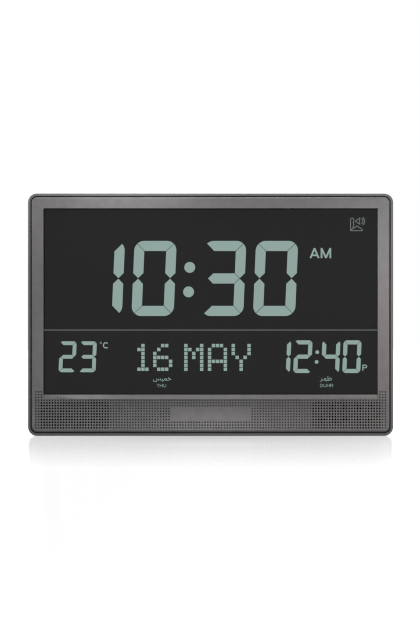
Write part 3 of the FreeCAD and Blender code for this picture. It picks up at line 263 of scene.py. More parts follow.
def dress(piece: Piece, material: bpy.types.Material) -> None:
    """Gives every slot of a piece the material."""
    piece.data.materials.clear()
    piece.data.materials.append(material)


def carry(piece: Piece) -> None:
    """Makes a piece ride on the clock's fixed body, and logs it.

    Args:
        piece: The piece.
    """
    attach(piece, ROOT)
    LOG.info("%s: %d faces, rides on %s", piece.name, len(piece.data.polygons), ROOT)


@dataclass(frozen=True)
class Finish:
    """A surface as it is made: two close colours in cloudy patches, and a grain that stands up from it.

    colour and shade are sRGB hex. patch is the width of the colour's patches, grain the spacing of the
    surface's grain and rise its height, all in mm. The roughness wanders by gloss_spread either way.
    """

    name: str
    colour: str
    shade: str
    roughness: float
    metallic: float = 0.0
    specular: float = 0.5
    coat: float = 0.0
    coat_roughness: float = 0.1
    patch: float = 18.0
    grain: float = 0.9
    rise: float = 0.02
    gloss_spread: float = 0.04

    def noise(self, tree: Tree, point: Socket, width: float, detail: float) -> Socket:
        """Gives a noise whose features are width mm wide."""
        sockets = {"Vector": point, "Scale": 1 / (width * MM), "Detail": detail}
        return add(tree, "TexNoise", sockets).outputs[0]

    def figure(self, tree: Tree, point: Socket) -> Socket:
        """Gives the pattern, 0 to 1, that leads from colour to shade."""
        cloud = self.noise(tree, point, self.patch, CLOUD_DETAIL)
        return add(tree, "MapRange", {0: cloud, 1: CLOUD_RANGE[0], 2: CLOUD_RANGE[1]}).outputs[0]

    def relief(self, tree: Tree, point: Socket) -> Socket:
        """Gives the height, 0 to 1, of the surface's grain."""
        return self.noise(tree, point, self.grain, GRAIN_DETAIL)

    def tone(self, tree: Tree, point: Socket) -> Socket:
        """Gives the surface's colour: colour and shade, mixed by the pattern."""
        shares = {0: self.figure(tree, point), 6: linear(self.colour), 7: linear(self.shade)}
        return add(tree, "Mix", shares, data_type="RGBA").outputs[2]

    def bump(self, tree: Tree, relief: Socket) -> Socket:
        """Gives the normal that the grain's height tilts."""
        return add(tree, "Bump", {"Height": relief, "Strength": 1.0, "Distance": self.rise * MM}).outputs[0]

    def shader(self, tree: Tree, point: Socket) -> Socket:
        """Builds the surface shader.

        Args:
            tree: The material's node tree.
            point: The point in the object's own coordinates.

        Returns:
            The shader's output.
        """
        relief = self.relief(tree, point)
        limits = {3: self.roughness - self.gloss_spread, 4: self.roughness + self.gloss_spread}
        gloss = add(tree, "MapRange", {0: relief, **limits})
        return add(tree, "BsdfPrincipled", {
            "Base Color": self.tone(tree, point), "Roughness": gloss.outputs[0], "Metallic": self.metallic,
            "Specular IOR Level": self.specular, "Coat Weight": self.coat,
            "Coat Roughness": self.coat_roughness, "Normal": self.bump(tree, relief)}).outputs[0]

    def material(self) -> bpy.types.Material:
        """Makes the material, unless it is made already.

        Returns:
            The material.
        """
        made = bpy.data.materials.get(self.name)
        if made is None:
            made = bpy.data.materials.new(self.name)
            made.use_nodes = True
            made.node_tree.nodes.clear()
            point = add(made.node_tree, "TexCoord").outputs["Object"]
            add(made.node_tree, "OutputMaterial", {0: self.shader(made.node_tree, point)})
        return made


@dataclass(frozen=True)
class RecessShadedLacquer(Finish):
    """Lacquer sprayed from the front, with painted shade: near-black mixed into its colour by the face
    attribute.
    """

    # The near-black of the painted shade in holes, dimples, the groove and the skirt.
    recess_shade: str = "#0c0c0d"

    def tone(self, tree: Tree, point: Socket) -> Socket:
        """Gives the lacquer's colour, mixed toward recess_shade by the piece's own attribute, which paints
        shade.
        """
        shares = {0: add(tree, "Attribute", attribute_name=BARE).outputs["Fac"],
                  6: super().tone(tree, point), 7: linear(self.recess_shade)}
        return add(tree, "Mix", shares, data_type="RGBA").outputs[2]


@dataclass(frozen=True)
class WovenCloth(Finish):
    """A plain weave: threads that pass over and under each other, grain mm apart both ways."""

    def relief(self, tree: Tree, point: Socket) -> Socket:
        """Gives the height of the threads: the larger of two sets of round ridges, across and up."""
        sets = [add(tree, "TexWave", {"Vector": point, "Scale": WAVE_SPACING / (self.grain * MM)},
                    bands_direction=way).outputs[1] for way in "XZ"]
        return add(tree, "Math", dict(enumerate(sets)), operation="MAXIMUM").outputs[0]


@dataclass(frozen=True)
class RolledMetal(Finish):
    """Sheet or turned metal, with fine lines that are drawn out along x, drawn times as long as wide."""

    drawn: float = 12.0

    def relief(self, tree: Tree, point: Socket) -> Socket:
        """Gives the lines' height: a noise that is stretched along x."""
        stretched = add(tree, "Mapping", {"Vector": point, "Scale": (1 / self.drawn, 1.0, 1.0)}).outputs[0]
        return self.noise(tree, stretched, self.grain, GRAIN_DETAIL)


@dataclass(frozen=True)
class CircuitLaminate(Finish):
    """A circuit on film or board, whose tracks show as paler lines. track is a line's share of a patch."""

    track: float = 0.03

    def figure(self, tree: Tree, point: Socket) -> Socket:
        """Gives the tracks: thin gaps between bricks that are drawn in the board's own plane."""
        turned = add(tree, "Mapping", {"Vector": point, "Rotation": (math.pi / 2, 0.0, 0.0)}).outputs[0]
        return add(tree, "TexBrick", {"Vector": turned, "Scale": 1 / (self.patch * MM),
                                      "Mortar Size": self.track}).outputs[1]


@dataclass(frozen=True)
class CellJacket(Finish):
    """A shrunk plastic jacket printed in two colours, with the second over the cell's positive end."""

    split: float = 84.0

    def figure(self, tree: Tree, point: Socket) -> Socket:
        """Gives 0 on one side of x = split and 1 on the other."""
        x = add(tree, "SeparateXYZ", {0: point}).outputs[0]
        return add(tree, "Math", {0: x, 1: self.split * MM}, operation="GREATER_THAN").outputs[0]


@dataclass(frozen=True)
class ClearPane(Finish):
    """A clear sheet that mirrors the share mirror of the light face on and glance of it edge-on."""

    mirror: float = 0.04
    glance: float = 1.0

    def shader(self, tree: Tree, point: Socket) -> Socket:
        """Mixes a clear shader with a mirror by Schlick's curve, from mirror face on to glance edge-on.

        Args:
            tree: The material's node tree.
            point: The point in the object's own coordinates.

        Returns:
            The shader's output.
        """
        facing = add(tree, "LayerWeight").outputs["Facing"]
        power = add(tree, "Math", {0: facing, 1: SCHLICK_POWER}, operation="POWER").outputs[0]
        share = add(tree, "MapRange", {0: power, 3: self.mirror, 4: self.glance}).outputs[0]
        clear = add(tree, "BsdfTransparent", {0: linear(self.colour)}).outputs[0]
        normal = self.bump(tree, self.relief(tree, point))
        gloss = add(tree, "BsdfAnisotropic", {"Roughness": self.roughness, "Normal": normal}).outputs[0]
        return add(tree, "MixShader", {0: share, 1: clear, 2: gloss}).outputs[0]


@dataclass(frozen=True)
class LitInk(Finish):
    """A liquid crystal segment that is switched clear, so that the lamps behind it show through evenly."""

    glow: float = 1.0

    def shader(self, tree: Tree, point: Socket) -> Socket:
        """Builds a dull dark surface that gives off the segment's own colour."""
        return add(tree, "BsdfPrincipled", {
            "Base Color": linear(self.shade), "Roughness": self.roughness,
            "Specular IOR Level": self.specular, "Emission Color": linear(self.colour),
            "Emission Strength": self.glow}).outputs[0]


def seen(tree: Tree) -> Socket:
    """Tells rays that the eye follows, straight, in a reflection or through glass, from all others.

    Args:
        tree: The node tree that takes the test.

    Returns:
        A socket that is 1 for such a ray and 0 for any other.
    """
    ray = add(tree, "LightPath").outputs
    made = ray["Is Camera Ray"]
    for other in ("Is Glossy Ray", "Is Transmission Ray"):
        made = add(tree, "Math", {0: made, 1: ray[other]}, operation="MAXIMUM").outputs[0]
    return made


@dataclass(frozen=True)
class WhiteTable(Finish):
    """The studio's table: polished white laminate that runs into the white backdrop away from the clock.

    near_lift and far_lift are what is added for rays that the eye follows, at the clock and reach mm from it.
    """

    near_lift: float = 0.46
    far_lift: float = 0.9
    reach: float = 530.0

    def shader(self, tree: Tree, point: Socket) -> Socket:
        """Builds a polished white surface that glows a little more with its distance from the origin.

        Args:
            tree: The material's node tree.
            point: The point in the object's own coordinates.

        Returns:
            The shader's output.
        """
        away = add(tree, "VectorMath", {0: point}, operation="LENGTH").outputs["Value"]
        limits = {2: self.reach * MM, 3: self.near_lift, 4: self.far_lift}
        lifted = add(tree, "MapRange", {0: away, **limits}).outputs[0]
        glow = add(tree, "Math", {0: seen(tree), 1: lifted}, operation="MULTIPLY").outputs[0]
        return add(tree, "BsdfPrincipled", {
            "Base Color": linear(self.colour), "Roughness": self.roughness,
            "Specular IOR Level": self.specular, "Emission Color": linear(WHITE),
            "Emission Strength": glow}).outputs[0]


# Sprayed metallic lacquer over moulded ABS, satin: aluminium flake gives a soft wide sheen and a faint
# cloudiness. Real flake is 0.03 mm; it is drawn 1.6 mm wide, which is as fine as the render can show.
# Holes, dimples, the groove and the skirt of this lacquer get painted shade: near-black mixed into its colour.
SATIN_LACQUER = RecessShadedLacquer("satin_metallic_lacquer", "#7e7c7d", "#787677", 0.4, metallic=0.35,
                               specular=0.3, patch=9.0, grain=1.6, rise=0.006, gloss_spread=0.03)
# Moulded ABS from a spark-eroded tool: an even, dull, pebbled grey. The pebbles are 0.3 mm, drawn at 0.9 mm.
SPARKED_ABS = Finish("sparked_grey_abs", "#737171", "#706e6e", 0.46, metallic=0.25, patch=8.0, grain=0.9,
                     rise=0.01, gloss_spread=0.03)
# The same tool finish in the darker pieces that a hand works: keys, door and leg.
DARK_ABS = Finish("sparked_dark_abs", "#3b3b3d", "#353537", 0.5, patch=24.0, grain=0.8, rise=0.02)
# Black ABS inside the case, moulded in a plain tool: smooth and dull.
BLACK_ABS = Finish("black_moulded_abs", "#161617", "#1c1c1e", 0.45, grain=1.2, rise=0.01)
# Injection-moulded acrylic with a hard anti-glare coat: clear, with no mirror image.
COATED_ACRYLIC = ClearPane("coated_clear_acrylic", WHITE, WHITE, 0.12, grain=40.0, rise=0.01, mirror=0.0,
                           glance=0.0)
# Float glass of the display cell: clear with a faint green tint and a thin mirror image.
CELL_GLASS = ClearPane("display_cell_glass", "#eef4f1", WHITE, 0.02, grain=60.0, rise=0.004)
# Stretched iodine film laminated on the glass: almost black, evenly dull.
POLARISER = LitInk("neutral_polariser_film", "#272727", "#111111", 0.5, specular=0.02, glow=0.85)
# A switched segment, lit evenly from behind by cool white lamps through the grey-green cell.
LIT_SEGMENT = LitInk("lit_display_segment", "#8fa49f", "#394341", 0.5, specular=0.02, glow=0.93)
# The dimmer rule printed on the same glass: a thin grey line.
LIT_RULE = LitInk("lit_display_rule", "#626665", "#2a2c2b", 0.5, specular=0.02, glow=0.88)
# The small picture, printed a little denser than the rule.
LIT_PICTURE = LitInk("lit_display_picture", "#717977", "#2a2c2b", 0.5, specular=0.02, glow=0.9)
# Painted shadow: a dark strip along the window's left, upper and lower inner edges, where the bezel's edge
# shades the display; it glows faintly, darker than the display's background.
WINDOW_SHADOW_INK = LitInk("painted_window_shadow", "#131313", "#0a0a0a", 0.5, specular=0.02, glow=0.85)
# Extruded acrylic light guide with a printed dot pattern that scatters the lamps' light: bright and milky.
GUIDE_ACRYLIC = Finish("dotted_guide_acrylic", "#e9eeee", "#d9e0e0", 0.15, specular=0.6, patch=3.0,
                       grain=2.0, rise=0.02)
# White polyester film, stretched: soft and even.
WHITE_FILM = Finish("white_polyester_film", "#eceded", "#e4e6e6", 0.55, patch=20.0, grain=1.5, rise=0.004)
# Dark polyimide ribbon with copper tracks laminated under it: paler lines on brown.
RIBBON_FILM = CircuitLaminate("dark_ribbon_film", "#33291c", "#4a3b27", 0.45, patch=2.0, grain=2.0, rise=0.01)
# Pressed sheet steel with black dipped paint: smooth, with faint rolling lines.
PAINTED_STEEL = RolledMetal("black_painted_steel", "#1d1d1f", "#232326", 0.38, metallic=0.4, grain=1.0,
                            rise=0.006)
# Pressed paper pulp cone: fibrous and matt.
CONE_PAPER = Finish("pressed_paper_cone", "#232221", "#2d2b29", 0.85, specular=0.2, patch=4.0, grain=0.7,
                    rise=0.06)
# Open-cell polyurethane foam, cut from sheet: porous and dull.
FOAM = Finish("open_cell_foam", "#1e1e1f", "#29292a", 0.95, specular=0.1, patch=2.5, grain=0.8, rise=0.15)
# Woven black polyester acoustic cloth, thread spacing 0.5 mm: black in the holes.
ACOUSTIC_CLOTH = WovenCloth("black_acoustic_cloth", "#0b0b0b", "#101010", 0.95, specular=0.1, patch=6.0,
                            grain=0.5, rise=0.08)
# Shrunk and printed PVC jacket of an ordinary dry cell: glossy, in two colours.
JACKET = CellJacket("printed_cell_jacket", "#2c5d4a", "#c9ccc9", 0.3, coat=0.3, grain=6.0, rise=0.01)
# Nickel-plated spring steel: bright, with drawn lines.
PLATED_STEEL = RolledMetal("nickel_plated_steel", "#c4c2bb", "#b5b2aa", 0.25, metallic=1.0, grain=0.8,
                           rise=0.01)
# Green solder mask over glass-fibre laminate: satin, with the tracks paler under it.
LAMINATE = CircuitLaminate("green_masked_laminate", "#1d4d32", "#2f6b49", 0.35, patch=6.0, grain=1.0,
                           rise=0.02)
# Moulded epoxy of chips, sockets and switches: dull black.
CHIP_EPOXY = Finish("moulded_black_epoxy", "#1b1b1c", "#222223", 0.6, grain=0.6, rise=0.02)
# Moulded soft-touch rubber on the volume wheel: black and matt.
WHEEL_RUBBER = Finish("soft_black_rubber", "#1a1a1a", "#212121", 0.7, specular=0.3, grain=0.7, rise=0.03)
# Blackened zinc-plated steel of the screws and the leg's pin: dark, with turning lines.
SCREW_STEEL = RolledMetal("blackened_screw_steel", "#5a5856", "#4c4a48", 0.3, metallic=1.0, grain=0.5,
                          rise=0.01)
# Polished high-pressure laminate: white, with a blurred reflection of what stands on it.
TABLE_LAMINATE = WhiteTable("white_laminate_table", "#8c8c8c", "#8c8c8c", 0.16)


class Cell(Enum):
    """What a cell of the pierced band holds."""

    BARE = 0
    DIMPLE = 1
    HOLE = 2


# Where the window or the frame takes a cell's place.
NO_CELL = -1


@dataclass
class PaintedBezel:
    """The moulded front: a flat rounded frame, a hollowed band of cells, a sill and a skirt behind.

    The band's cells lie pitch apart, from -last_column to last_column and from first_row up. The columns from
    the first of open_columns to the second are pierced on both sides, for open_rows rows, and the others are
    blind dimples. bare_columns and bare_rows bound the bare patch in the middle. Beside the window, side_rows
    more rows of side_columns cells go up.
    """

    half_width: float = 166.5
    low: float = 3.4
    high: float = 222.15
    corner: float = 5.0
    corner_steps: int = 5
    edge_round: float = 1.1
    lower_round: float = 2.2
    edge_steps: int = 7
    wall: float = 2.6
    window_half: float = 155.5
    window_low: float = 38.35
    window_high: float = 211.75
    sill_low: float = 34.25
    sill_depth: float = 1.4
    sill_draft: float = 0.9
    scoop_low: float = 5.7
    scoop_depth: float = 1.8
    scoop_full: float = 121.3
    scoop_end: float = 165.3
    scoop_left: float = 0.5
    pitch: float = 2.58
    last_column: int = 63
    first_row: float = 7.5
    rows: int = 11
    side_rows: int = 3
    side_columns: int = 3
    open_columns: tuple[int, int] = (37, 61)
    open_rows: int = 10
    bare_columns: int = 14
    bare_rows: tuple[int, int] = (3, 7)
    hole_radius: float = 0.86
    dimple_radius: float = 0.76
    dimple_depth: float = 0.6
    dimple_taper: float = 0.7
    # How much painted shade darkens a dimple's walls and floor.
    dimple_shade: float = 0.85
    skirt_depth: float = 12.0
    groove_depth: float = 2.0
    skirt_out: float = 0.95
    skirt_wall: float = 1.8

    def scoop(self, flat: Array) -> Array:
        """Gives the hollow's depth: a parabola in z between its two edges, shallower in a line to both ends.

        Args:
            flat: Points in x and z.

        Returns:
            The depth at each point.
        """
        middle = (self.scoop_low + self.sill_low) / 2
        across = 1 - ((flat[..., 1] - middle) / ((self.sill_low - self.scoop_low) / 2)) ** 2
        along = (self.scoop_end - np.abs(flat[..., 0])) / (self.scoop_end - self.scoop_full)
        return self.scoop_depth * np.clip(along, self.scoop_left, 1) * np.clip(across, 0, None)

    def sink(self, flat: Array) -> Array:
        """Lays points in x and z on the hollowed face."""
        return lift(flat, self.scoop(flat))

    def column_middles(self) -> Array:
        """Gives the x of every column's middle."""
        return np.arange(-self.last_column, self.last_column + 1) * self.pitch

    def columns(self) -> Array:
        """Gives each column's four stations in x, and moves those next to the window's sides onto them.

        Returns:
            An array of columns by four.
        """
        stations = self.column_middles()[:, None] + STATIONS * (self.pitch / 2)
        for side in (-1, 1):
            nearest = np.unravel_index(np.abs(stations - side * self.window_half).argmin(), stations.shape)
            stations[nearest] = side * self.window_half
        return stations

    def row_stations(self) -> Array:
        """Gives each row's four stations in z, the side rows included. The sill's edge parts the two kinds.

        Returns:
            An array of rows by four, from the lowest.
        """
        edges = self.first_row + (np.arange(self.rows + self.side_rows + 1) - 0.5) * self.pitch
        edges[self.rows] = self.sill_low
        half = np.diff(edges)[:, None] / 2
        return (edges[:-1, None] + edges[1:, None]) / 2 + half * STATIONS

    def kinds(self) -> Array:
        """Gives the kind of every cell, or NO_CELL where the window or the frame is instead.

        Returns:
            An array of rows by columns.
        """
        index = np.abs(np.arange(-self.last_column, self.last_column + 1))[None, :]
        row = np.arange(self.rows + self.side_rows)[:, None]
        kinds = np.full((len(row), index.shape[1]), Cell.DIMPLE.value)
        opened = (index >= self.open_columns[0]) & (index <= self.open_columns[1]) & (row < self.open_rows)
        bare = (index <= self.bare_columns) & (row >= self.bare_rows[0]) & (row <= self.bare_rows[1])
        kinds[opened] = Cell.HOLE.value
        kinds[bare] = Cell.BARE.value
        kinds[(row >= self.rows) & (index <= self.last_column - self.side_columns)] = NO_CELL
        return kinds

    def borders(self) -> tuple[Array, Array]:
        """Gives each cell's border: the stations on its four sides, from the right-hand side's upper one.

        Returns:
            The border's twelve points in x and z, and the cell's middle, as arrays of rows by columns.
        """
        xs, zs = self.columns(), self.row_stations()
        across = [3, 3, 2, 1, 0, 0, 0, 0, 1, 2, 3, 3]
        up = [2, 3, 3, 3, 3, 2, 1, 0, 0, 0, 0, 1]
        border = np.stack(np.broadcast_arrays(xs[None, :, across], zs[:, None, up]), -1)
        middle_z = self.first_row + np.arange(len(zs)) * self.pitch
        return border, np.stack(np.meshgrid(self.column_middles(), middle_z), -1)

    def ring(self, middle: Array, radius: float) -> Array:
        """Gives a hole's corners round each middle: middle + radius * (cos, sin)."""
        return middle[..., None, :] + arc((0, 0), radius, FIRST_CORNER, 360 - FIRST_CORNER, SIDES)

    def tiles(self, shell: Shell, cells: Array) -> None:
        """Adds each cell's border as one flat face."""
        shell.add(cells, np.arange(cells.size // 3).reshape(-1, SIDES))

    def tubes(self, shell: Shell, *loops: Array, bare: tuple[float, ...], cap: bool) -> None:
        """Joins loops of points, cell by cell, with quads.

        Args:
            shell: The mesh that takes them.
            *loops: One array of cells by points for each loop, from the face inwards.
            bare: How much painted shade darkens the faces behind each loop, and the cap.
            cap: Whether a face closes the last loop.
        """
        stack = np.stack(loops, 1)
        cells, levels = stack.shape[:2]
        start = (np.arange(cells) * levels * SIDES)[:, None, None]
        quads = (start + grid_faces(levels, SIDES, True)[None]).reshape(-1, 4)
        coat = np.tile(np.repeat(bare[: levels - 1], SIDES), cells)
        caps = (start[:, 0] + (levels - 1) * SIDES + np.arange(SIDES)).reshape(-1, SIDES)
        faces = [quads, caps] if cap else [quads]
        shell.add(stack, *faces, bare=np.append(coat, np.full(cells if cap else 0, bare[-1])))

    def grille(self, shell: Shell) -> None:
        """Adds the band: bare cells, blind dimples with sloped walls, and holes that go through to the back.

        Args:
            shell: The mesh that takes it.
        """
        border, middle = self.borders()
        kinds = self.kinds()
        bare, blind, pierced = (kinds == kind.value for kind in Cell)
        face, back = self.sink(border), lift(border, self.wall)
        self.tiles(shell, face[bare])
        # Painted shade: the dimples' walls and floors, and the holes' walls behind their rims, are mixed
        # toward near-black.
        rim = self.ring(middle[blind], self.dimple_radius)
        floor = lift(self.ring(middle[blind], self.dimple_radius * self.dimple_taper),
                     self.scoop(middle[blind])[:, None] + self.dimple_depth)
        self.tubes(shell, face[blind], self.sink(rim), floor, bare=(0.0, self.dimple_shade), cap=True)
        rim = self.ring(middle[pierced], self.hole_radius)
        self.tubes(shell, face[pierced], self.sink(rim), lift(rim, self.wall), back[pierced],
                   bare=(0.0, 1.0, 1.0), cap=False)
        self.tiles(shell, back[bare | blind])

    def inner_loop(self) -> Array:
        """Gives the loop round the cells and the flat frame, through every station on it.

        Returns:
            The loop's points in x and z, counter-clockwise.
        """
        xs, zs = np.unique(self.columns()), np.unique(self.row_stations())
        side, top = xs[-1], self.high - (zs[0] - self.low)
        fan = np.linspace(self.high - self.corner, top, self.corner_steps)
        up = np.concatenate([zs[1:], [self.window_high], fan])
        over = np.linspace(side, self.half_width - self.corner, self.corner_steps + 1)[1:]
        over = np.concatenate([over, [0.0], -over[::-1], [-side]])
        return np.concatenate([pair(xs, zs[0]), pair(side, up), pair(over, top), pair(-side, up[-2::-1])])

    def rim(self, shell: Shell) -> None:
        """Carries the edge's profile round the loop: rounded edge, groove wall, skirt, and the plate behind.

        The edge's radius grows from edge_round to lower_round as the loop turns to face down.

        Args:
            shell: The mesh that takes it.
        """
        loop, inset = self.inner_loop(), self.corner
        core = pair(np.clip(loop[:, 0], inset - self.half_width, self.half_width - inset),
                    np.clip(loop[:, 1], self.low + inset, self.high - inset))
        away = loop - core
        away /= np.linalg.norm(away, axis=1, keepdims=True)
        radius = self.edge_round + (self.lower_round - self.edge_round) * np.clip(-away[:, 1:], 0, 1)
        turns = np.radians(np.linspace(0, 90, self.edge_steps))
        inner = self.skirt_out - self.skirt_wall
        profile = [(0.0, self.groove_depth), (self.skirt_out, self.groove_depth),
                   (self.skirt_out, self.skirt_depth), (inner, self.skirt_depth), (inner, self.wall)]
        rows = [self.sink(loop)]
        rows += [lift(core + away * (inset + radius * (math.sin(t) - 1)), radius[:, 0] * (1 - math.cos(t)))
                 for t in turns]
        rows += [lift(core + away * (inset + out), deep) for out, deep in profile]
        rows.append(lift(loop, self.wall))
        # Painted shade: the groove's wall and floor, the skirt and the plate behind are mixed toward
        # near-black.
        bare = np.repeat(np.arange(len(rows) - 1) >= self.edge_steps, len(loop))
        shell.add(np.stack(rows), grid_faces(len(rows), len(loop), True), bare=bare)

    def frame(self, shell: Shell) -> None:
        """Adds the flat frame beside and above the window, front and back, through the loop's own points.

        Args:
            shell: The mesh that takes it.
        """
        loop, columns = self.inner_loop(), self.columns()
        xs, zs = np.unique(columns), np.unique(self.row_stations())
        half, high, side = self.window_half, self.window_high, xs[-1]
        step = columns[-self.side_columns, 0]
        right = np.concatenate([
            pair(xs[(xs >= half) & (xs <= step)], self.sill_low), pair(step, zs[zs > self.sill_low]),
            pair(xs[xs > step], zs[-1]), [(side, high), (half, high), (half, self.window_low)]])
        above = np.concatenate([pair(np.array([-side, -half, half, side]), high), loop[loop[:, 1] > high]])
        for depth in (0.0, self.wall):
            for part in (right, right * (-1, 1), above):
                shell.polygon(lift(part, depth))

    def window(self, shell: Shell) -> None:
        """Adds the window's walls, the sloped sill below it with its drafted ends, and the plate behind it.

        Args:
            shell: The mesh that takes them.
        """
        half, lip = self.window_half, self.window_half - self.sill_draft
        low, high, deep, back = self.window_low, self.window_high, self.sill_depth, self.wall
        xs = np.unique(self.columns())
        line = pair(xs[np.abs(xs) <= half], self.sill_low)
        for side, depth, foot in ((lip, deep, 0.0), (half, back, back)):
            shell.polygon(np.concatenate([lift(line, foot), [(side, depth, low), (-side, depth, low)]]))
        shell.polygon(np.array([(-half, 0, low), (-lip, deep, low), (lip, deep, low), (half, 0, low),
                                (half, back, low), (-half, back, low)]))
        shell.polygon(np.array([(-half, 0, high), (half, 0, high), (half, back, high), (-half, back, high)]))
        for way in (-1, 1):
            x = way * half
            shell.polygon(np.array([(x, 0, self.sill_low), (way * lip, deep, low), (x, 0, low)]))
            shell.polygon(np.array([(x, 0, low), (x, back, low), (x, back, high), (x, 0, high)]))

    def build(self) -> None:
        """Builds the bezel as one closed mesh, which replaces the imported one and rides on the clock."""
        shell = Shell()
        self.grille(shell)
        self.rim(shell)
        self.frame(shell)
        self.window(shell)
        piece = shell.build("painted_bezel")
        dress(piece, SATIN_LACQUER.material())
        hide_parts("front_bezel")
        carry(piece)


# The lit segments of each figure, by their usual letters.
SEGMENTS = {"0": "abcdef", "1": "bc", "2": "abged", "3": "abgcd", "4": "fgbc"}


@dataclass
class SevenSegments:
    """One size of seven-segment figure, leaning to the right."""

    width: float
    height: float
    stroke: float
    corner: float
    gap: float = 0.4
    lean: float = 0.0425

    def segment(self, letter: str) -> Array:
        """Gives a segment's outline before it leans, about the figure's middle.

        The top and the upper left segments are worked out, and the others are their mirror images. A mitre
        runs at 45 degrees from the sharp inner corner, and both sides of it stand back by half the gap.

        Args:
            letter: The segment's usual letter, a to g.

        Returns:
            The outline in x and z.
        """
        w, h, t, r = self.width / 2, self.height / 2, self.stroke, self.corner
        back = self.gap / 2 * math.sqrt(2.0)
        tilt = math.degrees(math.asin(self.gap / 2 / r))
        if letter in "ad":
            left = arc((r - w, h - r), r, 135 - tilt, 90)
            right = arc((w - r, h - r), r, 90, 45 + tilt)
            ends = np.array([(w - t - back, h - t), (t - w + back, h - t)])
            return np.concatenate([left, right, ends]) * ((1, 1) if letter == "a" else (1, -1))
        if letter == "g":
            half = np.array([(w - t / 2 - back, 0), (w - t - back, -t / 2), (t - w + back, -t / 2)])
            return np.concatenate([half, -half])
        outer = arc((r - w, h - r), r, 135 + tilt, 180)
        inner = [(-w, t / 2 + back), (t / 2 - w, back), (t - w, t / 2 + back), (t - w, h - t - back)]
        flip = {"f": (1, 1), "b": (-1, 1), "e": (1, -1), "c": (-1, -1)}[letter]
        return np.concatenate([outer, inner]) * flip

    def figure(self, digit: str, right: float, middle: float) -> list[Array]:
        """Gives the outlines of one figure's lit segments.

        Args:
            digit: The figure.
            right: The x of the right-hand edge at mid-height.
            middle: The z of mid-height.

        Returns:
            The outlines in x and z.
        """
        corner = np.array((right - self.width / 2, middle))
        upright = [self.segment(letter) for letter in SEGMENTS[digit]]
        return [corner + flat + pair(flat[:, 1] * self.lean, 0.0) for flat in upright]


# Each capital's strokes in a square of side 1, how wide the letters are, and the gap between two, in squares.
LETTER_STROKES = {
    "A": [[(0, 0), (0.47, 1), (0.53, 1), (1, 0)], [(0.2, 0.24), (0.8, 0.24)]],
    "C": [arc((0.5, 0.5), 0.5, 58, 302)],
    "D": [[(0, 0), (0, 1), *arc((0.45, 0.5), (0.55, 0.5), 90, -90), (0, 0)]],
    "H": [[(0, 0), (0, 1)], [(1, 0), (1, 1)], [(0, 0.5), (1, 0.5)]],
    "M": [[(0, 0), (0, 1)], [(0.04, 1), (0.47, 0), (0.53, 0), (0.96, 1)], [(1, 1), (1, 0)]],
    "P": [[(0, 0), (0, 1), *arc((0.6, 0.74), (0.4, 0.26), 90, -90), (0, 0.48)]],
    "R": [[(0, 0), (0, 1), *arc((0.6, 0.76), (0.4, 0.24), 90, -90), (0, 0.52)], [(0.55, 0.52), (1, 0)]],
    "T": [[(0, 1), (1, 1)], [(0.5, 1), (0.5, 0)]],
    "U": [[(0, 1), *arc((0.5, 0.4), (0.5, 0.4), 180, 360), (1, 1)]],
}
LETTER_WIDTHS = {"M": 1.2, "A": 1.05, "T": 0.9}
LETTER_GAP = 0.17
# A corner's mitre is divided by 1 plus the cosine of the stroke's turn, but at least by this, which cuts the
# sharp ones short.
MITRE_LIMIT = 0.4

# Each dot-matrix letter's rows, from the top.
DOT_LETTERS = {
    "1": ".#. ## .#. .#. .#. .#. ###",
    "6": "..## .# # #### #...# #...# .###",
    "M": "#...# ##.## #.#.# #.#.# #...# #...# #...#",
    "A": ".###. #...# #...# #...# ##### #...# #...#",
    "Y": "#...# #...# #...# .#.#. ..# ..# ..#",
}


@dataclass(frozen=True)
class Readout:
    """A group of figures at one mid-height, each with its right-hand edge, and dots of x, z and radius."""

    name: str
    size: SevenSegments
    text: str
    rights: tuple[float, ...]
    middle: float
    dots: tuple[tuple[float, float, float], ...] = ()


@dataclass(frozen=True)
class Word:
    """A small word, its left, right, lower and upper limits, and the width of its capitals' strokes."""

    name: str
    text: str
    box: tuple[float, float, float, float]
    stroke: float = 0.0


